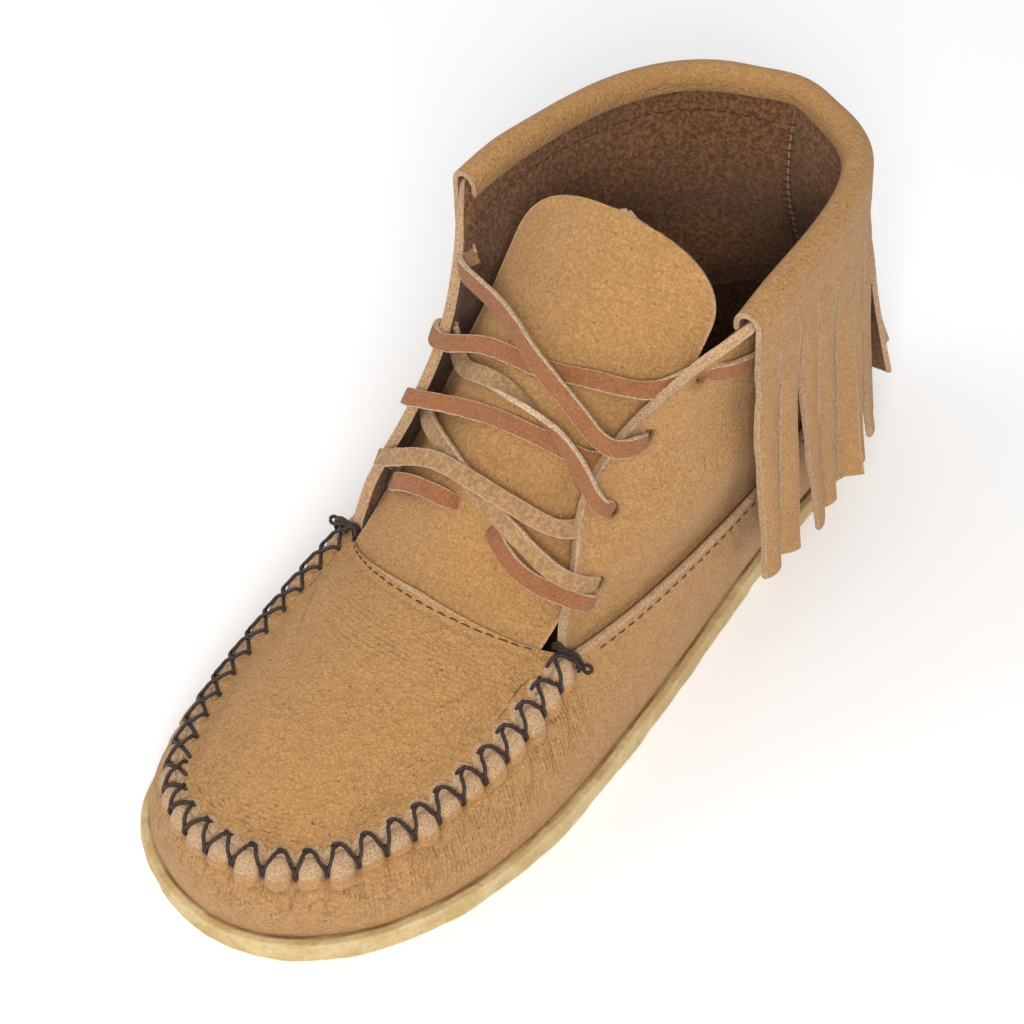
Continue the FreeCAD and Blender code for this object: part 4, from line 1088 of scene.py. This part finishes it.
def fold_section(radius, leg, band, count):
    """Out and up along the folded strip: inner leg up, half a circle, outer leg down, at even steps."""
    steps = np.linspace(0, leg + np.pi * radius + band, count)
    angle = np.clip((steps - leg) / radius, 0, np.pi)
    out = -radius * np.cos(angle)
    up = radius * np.sin(angle) + np.minimum(steps - leg, 0) - np.maximum(steps - leg - np.pi * radius, 0)
    return out, up


cuff_columns = STRANDS * 12 + 1
rim_place, rim_along, rim_away = rim_frames(cuff_columns)


def strip(radius, band, count=40):
    out, up = fold_section(radius, ROLL_INNER_LEG, band, count)
    return rim_place + rim_away * out[:, None, None] + np.array([0, 0, 1.0]) * up[:, None, None]


cuff_face = strip(ROLL_RADIUS, BAND_DROP)
cuff_back = strip(ROLL_RADIUS - CUFF_LEATHER, BAND_DROP)
sway = rumple(cuff_face, 22.0, 53, 2) * 0.28
ends = np.arange(cuff_columns)
from_end = np.minimum(ends, cuff_columns - 1 - ends) * walked(rim_place)[-1] / (cuff_columns - 1)
fold_share = np.linspace(0, 1, 40)[:, None]
sway = sway * smooth(0, 8, from_end) * (1 - smooth(0.8, 1.0, fold_share))
cuff_out = unit(cuff_face - cuff_back)
cuff_face = cuff_face + cuff_out * sway[:, :, None]
cuff_back = cuff_back + cuff_out * sway[:, :, None]
# painted shade: a darker line round the cuff where the roll turns down into the band
roll_shade_line = 0.35 * np.exp(-((fold_share - 0.50) / 0.03) ** 2) * np.ones(cuff_columns)
cuff = make_piece("rolled_cuff", *leather_sheet(cuff_face, cuff_back, roll_shade_line), upper_leather, "leather", 55)
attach(cuff, "shoe")
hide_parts("cuff_band")
print("rim length", round(walked(rim_place)[-1]), "mm")

# %% Fringe strands
half_place, half_along, half_away = rim_frames(2 * STRANDS + 1)
wall_points = wall_face(wall_foot, wall_top, np.linspace(0, 1, 8))[:, ::6].reshape(-1, 3)
STRAND_ROWS = 64
STRAND_COLUMNS = 11


def strand_axes(k):
    """Hinge place, directions, width and slope of one strand: steep enough to clear the wall below it."""
    middle, along, away_way = half_place[2 * k + 1], half_along[2 * k + 1], half_away[2 * k + 1]
    width = np.linalg.norm(half_place[2 * k + 2] - half_place[2 * k]) - STRAND_GAP
    hinge = middle + away_way * ROLL_RADIUS
    hinge[2] = half_place[2 * k:2 * k + 3, 2].min() - BAND_DROP - STRAND_HINGE_GAP / 2
    way = wall_points - hinge
    near = (abs(way @ along) < 0.6 * width) & (way[:, 2] < -STRAND_GAP)
    needed = (way[near] @ away_way + HEEL_CLEARANCE + CUFF_LEATHER) / -way[near, 2]
    return hinge, along, away_way, width, max(FRINGE_FLARE / FRINGE_LENGTH, needed.max(initial=0))


for k in range(STRANDS):
    hinge, along, away_way, width, slope = strand_axes(k)
    down = unit(away_way * slope - np.array([0, 0, 1.0]))
    out_way = np.cross(along, down)
    out_way = out_way * np.sign(out_way @ away_way)
    length = FRINGE_LENGTH - BAND_DROP
    t = np.linspace(0, 1, STRAND_ROWS)[:, None]
    side = np.linspace(-1, 1, STRAND_COLUMNS)[None, :]
    fine_column = np.interp(np.linspace(-1, 1, STRAND_COLUMNS), [-1, 1], [12 * k, 12 * k + 12])
    start = np.stack([np.interp(fine_column, np.arange(cuff_columns), cuff_face[-1, :, axis]) for axis in range(3)], 1)
    start_back = np.stack([np.interp(fine_column, np.arange(cuff_columns), cuff_back[-1, :, axis])
                           for axis in range(3)], 1)
    ragged = 0.35 * lattice(np.stack([9 * t + 0 * side, 0 * t + np.sign(side) + 5 * k, 0 * t + 0 * side], -1), 59)
    narrow = width / 2 * (1 - 0.16 * t * random.uniform(0.2, 1.5)) + ragged * smooth(0.05, 0.3, t)
    skew = TIP_SKEW * t * (side * 0.5 + 0.5) * random.uniform(0.5, 1.0)
    run_down = (length - TIP_SKEW) * t + skew
    phase0, phase1 = random.uniform(0, 6.28, 2)
    bow = (0.9 * np.sin(2.4 * t + phase0) - 0.9 * np.sin(phase0)) * t + 0.6 * np.sin(6 * t + phase1) * t
    cup = -random.uniform(0.3, 1.1) * side ** 2 * smooth(0, 0.3, t)
    twist = random.normal(0, 1.5) * side * t ** 1.4
    lean = random.normal(0, 0.9) * t ** 1.5
    flat = hinge + along * (side * narrow + lean)[:, :, None] + down * run_down[:, :, None]
    flare_out = random.uniform(0, 3.5) * t ** 2
    flat = flat + out_way * (np.clip(bow, -0.4, 2.5) + flare_out + cup + np.maximum(twist, -0.9) + 0.3)[:, :, None]
    join = smooth(0.0, 0.10, t)[:, :, None]
    upper = start[None] - np.array([0, 0, 1.0]) * run_down[:, :, None]
    face_grid = upper * (1 - join) + flat * join
    upper_back = start_back[None] - np.array([0, 0, 1.0]) * run_down[:, :, None]
    back_grid = upper_back * (1 - join) + (flat - out_way * CUFF_LEATHER) * join
    # painted shade: darker along the top of each strand, just under the band
    sheet = leather_sheet(face_grid, back_grid, 0.25 * np.exp(-(t / 0.03) ** 2) * np.ones(STRAND_COLUMNS))
    strand = make_piece("strand_%02d" % (k + 1), *sheet, upper_leather, "leather", 50)
    node = "fringe_strand_%02d" % (k + 1)
    tuple((hinge + np.array([0, 0, 1.2])) * MM)
    tuple((hinge - np.array([0, 0, 9.0])) * MM)
    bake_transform(strand)
    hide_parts(node)

# %% [markdown]
# ## Tongue
#
# The tongue is one supple piece, sewn under the plug and free above the lacing, so it is one surface. Its middle
# line climbs the instep, each row across it is an arch, and its width shrinks like a circle near the tip.

# %% Tongue
TONGUE_WIDTH = 62.0
TONGUE_LEAN = 5.5
TUCK_SPREAD = 1.065
TIP_HEIGHT = 127.0
TIP_ROUND = 18.0
TIP_SQUARENESS = 2.5
FOLD_HEIGHT = 75.0
INSTEP = unit(np.array([0.0, -0.7, 0.714]))
TONGUE_ROWS = ((-0.20, 0.600, 1.06, 30.9), (-0.05, 0.770, 0.98, 29.3), (0.10, 0.945, 1.0, 36.9),
               (0.26, 1.130, 1.0, 67.7))


def tongue_face(rows, columns):
    """Middle line plus a way to the side, minus the square of that way over twice the crown's radius."""
    under = LEATHER + LAYER_GAP
    seam_share = np.linspace(-1, 1, columns)
    x = seam_share * (TONGUE_SEAM_HALF - LAYER_GAP)
    edge_y = seam_arc(x)
    lines = [np.column_stack([x, edge_y - SEAM_LAP, plug_height(x, edge_y - SEAM_LAP) - under]),
             np.column_stack([x * TUCK_SPREAD, edge_y, plug_height(x, edge_y) - under])]
    for share_y, share_z, wide, crown in TONGUE_ROWS:
        middle = np.array([0, share_y, share_z]) * LAST_SCALE
        lean = TONGUE_LEAN * max(0.0, middle[2] - FOLD_HEIGHT) / (TIP_HEIGHT - FOLD_HEIGHT)
        way = seam_share * TONGUE_WIDTH / 2 * wide
        level = middle - INSTEP * (way ** 2 / (2 * crown))[:, None]
        level[:, 0] += way + lean
        lines.append(level)
    stack = np.stack(lines)
    return np.stack([spline(stack[:, j], rows) for j in range(columns)], axis=1)


def tongue_cut(base):
    """The sheet's rows up to the tip, each narrowed to the tip's outline: width and height shares raised to a
    power add up to 1, and a higher power makes the end squarer."""
    middle = base[:, base.shape[1] // 2]
    height = np.interp(TIP_HEIGHT, middle[:, 2], np.arange(len(middle)))
    rise = np.concatenate([np.linspace(0, 0.86, 90)[:-1], 1 - 0.14 * (1 - np.sin(np.linspace(0, np.pi / 2, 34)))])
    pick = rise * height
    low = np.floor(pick).astype(int)
    rows = base[low] + (base[np.minimum(low + 1, len(base) - 1)] - base[low]) * (pick - low)[:, None, None]
    centre_line = rows[:, rows.shape[1] // 2]
    left = walked(centre_line)[-1] - walked(centre_line)
    along = np.clip(1 - left / TIP_ROUND, 0, 1)
    half = TONGUE_WIDTH / 2 * np.maximum(1 - along ** TIP_SQUARENESS, 1e-4) ** (1 / TIP_SQUARENESS)
    share = np.linspace(-1, 1, base.shape[1])
    full = np.linalg.norm(rows[:, -1] - rows[:, 0], axis=1) / 2
    kept = np.minimum(half / full, 1.0)[:, None] * share
    column = (kept + 1) / 2 * (base.shape[1] - 1)
    left_column = np.clip(np.floor(column).astype(int), 0, base.shape[1] - 2)
    part = (column - left_column)[:, :, None]
    index = np.arange(len(rows))[:, None]
    return rows[index, left_column] * (1 - part) + rows[index, left_column + 1] * part


tongue = tongue_cut(tongue_face(160, 61))
tongue_out = grid_normals(tongue)
tongue_out *= np.sign(tongue_out[40, 30] @ INSTEP)
up_tongue = np.linspace(0, 1, len(tongue))[:, None]
tongue_slack = rumple(tongue, 26.0, 61, 2) * 0.55 * smooth(0.15, 0.4, up_tongue)
tongue = tongue + tongue_out * tongue_slack[:, :, None]
tongue_back = tongue - tongue_out * TONGUE_LEATHER
tongue_piece = make_piece("tongue_leather", *leather_sheet(tongue, tongue_back), upper_leather, "leather", 55)
fold_foot = np.array(TONGUE_ROWS[0][:2]) * LAST_SCALE[1:]
fold_middle = np.array([0, *fold_foot]) + np.array([0, 0.714, 0.7]) * (FOLD_HEIGHT - fold_foot[1]) / 0.7
fold_way = unit(np.array([0, 0.714, 0.7]))
tuple((fold_middle - fold_way * 9) * MM)
tuple((fold_middle + fold_way * 9) * MM)
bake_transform(tongue_piece)
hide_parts("tongue_root", "tongue_flap")

# %% [markdown]
# ## Thong lace
#
# The lace is one flat thong that zigzags between the facings. Its section is a rounded bar; each run follows a
# cubic curve over the tongue, and the flat side turns a little along it, as a cut thong twists when it is pulled
# through a hole: sometimes the smooth face shows, sometimes the pale cut edge or the napped back.

# %% Thong runs
THONG_WIDTH = 5.0
THONG_THICKNESS = 1.7
SHARED_HOLE_SHIFT = np.array([1.2, -3.0, -3.4])
LACE_RUNS = (
    ((-1, 3), (1, 2), ((0.05, 3.3, 2.7), (0.34, 10.3, 11.1), (0.604, 13.8, 11.7), (0.816, 12.9, 6.9),
                       (0.974, 9.7, 2.7)), "both", (40, 30, 8, 0)),
    ((1, 3), (-1, 2), ((0.099, 7.1, 0.3), (0.271, 11.7, 3.4), (0.482, 13.1, 4.9), (0.746, 10.5, 5.8),
                       (0.944, 8.2, 2.3)), "both", (0, 8, -6, 0)),
    ((-1, 2), (1, 1), ((0.104, 1.4, -1.7), (0.384, 6.2, 10.4), (0.671, 5.9, 15.6), (0.879, 4.9, 12.3),
                       (1.008, 5.1, 6.9)), "both", (175, 178, 30, 5)),
    ((1, 2), (-1, 1), ((0.101, 8.0, -2.4), (0.231, 10.3, 1.6), (0.404, 9.6, 5.1), (0.701, 7.6, 7.0),
                       (0.961, 5.6, 5.5)), "both", (0, -6, 6, 0)),
    ((-1, 1), (1, 0), ((0.179, 5.6, 6.3), (0.388, 10.2, 10.2), (0.615, 12.7, 10.7), (0.788, 12.1, 9.2),
                       (0.953, 9.4, 6.4)), "both", (180, 200, 188, 180)),
    ((1, 1), (-1, 0), ((0.073, 9.1, -0.9), (0.226, 13.3, 5.9), (0.447, 13.4, 13.1), (0.642, 10.6, 14.5),
                       (0.943, 5.4, 6.3)), "both", (180, 186, 174, 180)),
    ((-1, 0), (1, 0), ((0.109, 5.5, 1.7), (0.17, 9.1, 6.8), (0.307, 10.4, 12.0), (0.454, 9.3, 12.2)), "first",
     (0, -5, 4, 0)),
    ((-1, 0), (1, 0), ((0.65, 9.9, 11.2), (0.79, 14.0, 7.8), (0.93, 12.4, 4.4)), "last",
     (0, 6, -4, 0)),
)


def thong(points, faces, stops, twists, steps, squeezed=(False, False)):
    """Rounded bar along a curve. Its flat side turns between given directions at given lengths and by given
    degrees, and it narrows where it is squeezed into a hole at its start or end."""
    path = spline(points, steps)
    along = unit(np.gradient(path, axis=0))
    gone = walked(path)
    left = gone[-1] - gone
    share = gone / gone[-1]
    stops = np.array([stop if stop >= 0 else gone[-1] + stop for stop in stops])
    face = np.stack([np.interp(gone, stops, np.asarray(faces)[:, axis]) for axis in range(3)], axis=1)
    across = unit(np.cross(face, along))
    flat = np.cross(along, across)
    turned = np.interp(share, np.linspace(0, 1, len(twists)), twists)
    settled = np.round(turned[[0, -1]] / 180) * 180
    if squeezed[1]:
        turned = turned + (settled[1] - turned) * (1 - smooth(4, 16, left))
    angle = np.radians(turned)[:, None]
    across, flat = across * np.cos(angle) + flat * np.sin(angle), flat * np.cos(angle) - across * np.sin(angle)
    corner = np.linspace(0, np.pi / 2, 4)
    radius = 0.45
    arc = np.stack([np.cos(corner), np.sin(corner)], axis=1) * radius
    core = np.array([THONG_WIDTH / 2 - radius, THONG_THICKNESS / 2 - radius])
    bend = arc + core
    section = np.vstack([
        bend, [[x, core[1] + radius] for x in (1.2, 0.4, -0.4, -1.2)], bend[::-1] * (-1, 1),
        bend * (-1, -1), [[x, -core[1] - radius] for x in (-1.2, -0.4, 0.4, 1.2)], bend[::-1] * (1, -1)])
    tight = np.ones(steps)
    if squeezed[0]:
        tight = tight * (0.66 + 0.34 * smooth(1.5, 7.0, gone))
    if squeezed[1]:
        tight = tight * (0.66 + 0.34 * smooth(1.5, 7.0, left))
    ragged = lattice(np.column_stack([gone / 2.2, path[:, 0] / 9, 0 * gone]), 67)
    wide = section[:, 0] * (tight * (0.94 + 0.05 * ragged))[:, None]
    cupped = 0.10 * (section[:, 0] / 2.5) ** 2 * np.sin(gone / 11.0 + path[0, 0])[:, None]
    tall = section[:, 1] + cupped + 0.12 * lattice(np.column_stack([gone / 5.0, 0 * gone, path[:, 1] / 7]), 71)[:, None]
    skin = path[:, None] + across[:, None] * wide[:, :, None] + flat[:, None] * tall[:, :, None]
    raw = np.broadcast_to(smooth(2.05, 2.42, abs(section[:, 0])), skin.shape[:2])
    flesh = np.broadcast_to(smooth(0.1, -0.6, section[:, 1]), skin.shape[:2])
    return skin, raw, flesh


runs = []
for start, end, offsets, joined, twists in LACE_RUNS:
    place, direction = lace_holes[start[0]][start[1]]
    other = lace_holes[end[0]][end[1]]
    points = [place + (other[0] - place) * share + np.array([0, -forward, up]) for share, forward, up in offsets]
    faces, stops = [INSTEP, INSTEP], [14, -16]
    if joined != "last":
        points.insert(0, place - direction * (QUARTER_LEATHER + LAYER_GAP + THONG_THICKNESS / 2))
        faces.insert(0, direction)
        stops.insert(0, 0)
    else:
        points.insert(0, points[0] - INSTEP * 4.0 + unit(points[0] - points[1]) * 1.5)
    if joined != "first":
        place, direction = other[0] + SHARED_HOLE_SHIFT * (joined == "last"), other[1]
        approach = unit(place - points[-1])
        approach = unit(approach - direction * (approach @ direction))
        points += [place + direction * (THONG_THICKNESS * 0.7) - approach * 1.4,
                   place - direction * 0.4 + approach * 0.5, place - direction * 3.4 + approach * 0.7]
        faces += [direction, approach]
        stops += [-7, -3]
    else:
        points.append(points[-1] - INSTEP * 4.0 + unit(points[-1] - points[-2]) * 1.5)
    runs.append(thong(points, faces, stops, twists, 110, (joined == "last", True)))
heel_points, heel_faces = [], []
for sign in (1, -1):
    grid = quarter_face(sign, 15, 29)
    outward = grid_normals(grid)
    outward *= sign * np.sign(outward[7, 14, 0])
    picked = np.arange(10, 27, 3)[::sign]
    side_points = list(grid[10, picked] + outward[10, picked] * (LAYER_GAP + 1.0 + THONG_THICKNESS / 2))
    side_faces = list(outward[10, picked])
    place, direction = lace_holes[sign][3]
    hole_points = [place - direction * 3.0, place + direction * 1.9 + np.array([0, 5.5, 0.4])]
    heel_points += hole_points + side_points if sign > 0 else side_points + hole_points[::-1]
    heel_faces += [direction] * 2 + side_faces if sign > 0 else side_faces + [direction] * 2
heel_stops = walked(np.array(heel_points))
runs.append(thong(heel_points, heel_faces, heel_stops, (0, 0), 240, (True, True)))
places, faces, raw_marks, flesh_marks = [], [], [], []
start = 0
for skin, raw, flesh in runs:
    steps, sides = skin.shape[:2]
    faces += ring_faces(steps, sides, start, round_columns=True)
    faces += [list(range(start, start + sides)), list(range(start + (steps - 1) * sides, start + steps * sides))]
    places.append(skin.reshape(-1, 3))
    raw_marks.append(raw.ravel())
    flesh_marks.append(flesh.ravel())
    start += steps * sides
places = np.vstack(places)
marks = {"raw": np.concatenate(raw_marks), "flesh": np.concatenate(flesh_marks), "crease": np.zeros(len(places))}
lace = make_piece("thong_lace", places, faces, marks, thong_leather, "thong", 60)
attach(lace, "shoe")
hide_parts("lace")

# %% [markdown]
# ## Machine stitches
#
# Machine seams are rows of short threads that sink into the leather at both ends. One small bead of a few dozen
# faces is carried to each place, turned along the seam and set half into the surface.

# %% Machine seams
MACHINE_THREAD = 0.5
MACHINE_PITCH = 3.4
SEAM_MARGIN = 2.2


def stitch_beads(line, lift, length=2.9, spacing=MACHINE_PITCH):
    """Paths of short threads along a line: a low arch over most of the spacing each."""
    count = max(2, int(walked(line)[-1] / spacing))
    centre = (np.arange(count) + 0.5) * spacing
    t = np.linspace(-0.5, 0.5, 6)
    at = centre[:, None] + t * length
    run_at = walked(line)
    place = np.stack([np.interp(at, run_at, line[:, axis]) for axis in range(3)], axis=-1)
    out = np.stack([np.interp(at, run_at, lift[:, axis]) for axis in range(3)], axis=-1)
    arch = 0.16 - 2.2 * t ** 2
    return place + unit(out) * arch[None, :, None]


def seam_piece(name, beads, node):
    piece = make_piece(name, *tubes(beads, MACHINE_THREAD / 2, sides=6), machine_thread, "machine_thread")
    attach(piece, "shoe")
    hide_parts(node)


def nearest_height(x, y, grid):
    """Height of the nearest place of a grid, seen from above."""
    flat = grid.reshape(-1, 3)
    near = np.argmin((flat[:, 0] - x[:, None]) ** 2 + (flat[:, 1] - y[:, None]) ** 2, axis=1)
    return flat[near, 2]


seam_x = np.linspace(-TONGUE_SEAM_HALF + 1.5, TONGUE_SEAM_HALF - 1.5, 60)
seam_y = seam_arc(seam_x) - SEAM_MARGIN
tongue_line = np.column_stack([seam_x, seam_y, nearest_height(seam_x, seam_y, plug[8:])])
seam_piece("tongue_seam", stitch_beads(tongue_line, np.tile([0, 0, 1.0], (60, 1))), "tongue_stitches")

beads = []
back_part = slice(toe_column + TOE_COUNT + 4, wall.shape[1] - 2)
for part in (back_part, slice(2, toe_column - TOE_COUNT - 4)):
    below = np.array([np.interp(SEAM_MARGIN, depth[::-1, c], np.arange(rows)[::-1]) for c in range(depth.shape[1])])
    low = below.astype(int)
    columns = np.arange(wall.shape[1])
    share = (below - low)[:, None]
    line = wall[low, columns] * (1 - share) + wall[np.minimum(low + 1, rows - 1), columns] * share
    beads.append(stitch_beads(line[part], away[part]))
seam_piece("quarter_seams", np.concatenate(beads), "quarter_stitches")

beads = []
for sign, (grid, outward) in quarters.items():
    row = int(QUARTER_ROWS * 0.86)
    line = (grid - outward * QUARTER_LEATHER)[row, 3:-2]
    beads.append(stitch_beads(line, -outward[row, 3:-2]))
seam_piece("cuff_seam", np.concatenate(beads), "cuff_stitches")

grid, outward = quarters[1]
back_edge = (grid - outward * QUARTER_LEATHER)[14:-12, -2]
back_edge[:, 0] = 0
count = 22
centre = even(back_edge, count)
t = np.linspace(-0.5, 0.5, 6)
beads = centre[:, None] + np.stack([t * 5.0, 0.9 * t ** 2 - 0.15, t * 1.4], axis=-1)
seam_piece("back_seam", beads, "back_stitches")

# %% [markdown]
# ## Floor and light
#
# A pale floor and wide, soft lamps, as in a photo tent: a big key from the front left, a weaker fill from the
# right and an almost white surrounding.

# %% Floor, lamps and surroundings
floor_mesh = bpy.data.meshes.new("floor")
floor_mesh.from_pydata([(-6, -6, -0.0002), (6, -6, -0.0002), (6, 6, -0.0002), (-6, 6, -0.0002)], [], [(0, 1, 2, 3)])
floor = bpy.data.objects.new("floor", floor_mesh)
bpy.context.scene.collection.objects.link(floor)
floor_look = Finish("pale_floor")
cloudy = floor_look.noise(400.0, 2.0)
floor_mesh.materials.append(floor_look.done(
    floor_look.mix(cloudy, shade(252, 252, 252), shade(250, 250, 250)), 0.8 + cloudy * 0.05,
    Emission_Color=(1, 1, 1, 1), Emission_Strength=0.07))


def soft_lamp(name, place, size, power):
    """A square area lamp that looks at the shoe's middle."""
    light = bpy.data.lights.new(name, "AREA")
    light.size = size
    light.energy = power
    lamp = bpy.data.objects.new(name, light)
    bpy.context.scene.collection.objects.link(lamp)
    back = unit(np.array(place) - np.array([0, 0, 0.05]))
    level = unit(np.cross([0, 0, 1.0], back))
    pose = np.eye(4)
    pose[:3, 0], pose[:3, 1], pose[:3, 2], pose[:3, 3] = level, np.cross(back, level), back, place
    lamp.matrix_world = pose.T.tolist()


soft_lamp("key", (0.80, -0.95, 1.0), 0.5, 17.0)
soft_lamp("side", (-1.0, -0.55, 0.75), 0.7, 4.0)
surround = bpy.data.worlds.new("tent")
surround.use_nodes = True
surround.node_tree.nodes["Background"].inputs["Color"].default_value = (1, 1, 1, 1)
surround.node_tree.nodes["Background"].inputs["Strength"].default_value = 0.58
bpy.context.scene.world = surround
bpy.context.scene.view_settings.view_transform = "Standard"
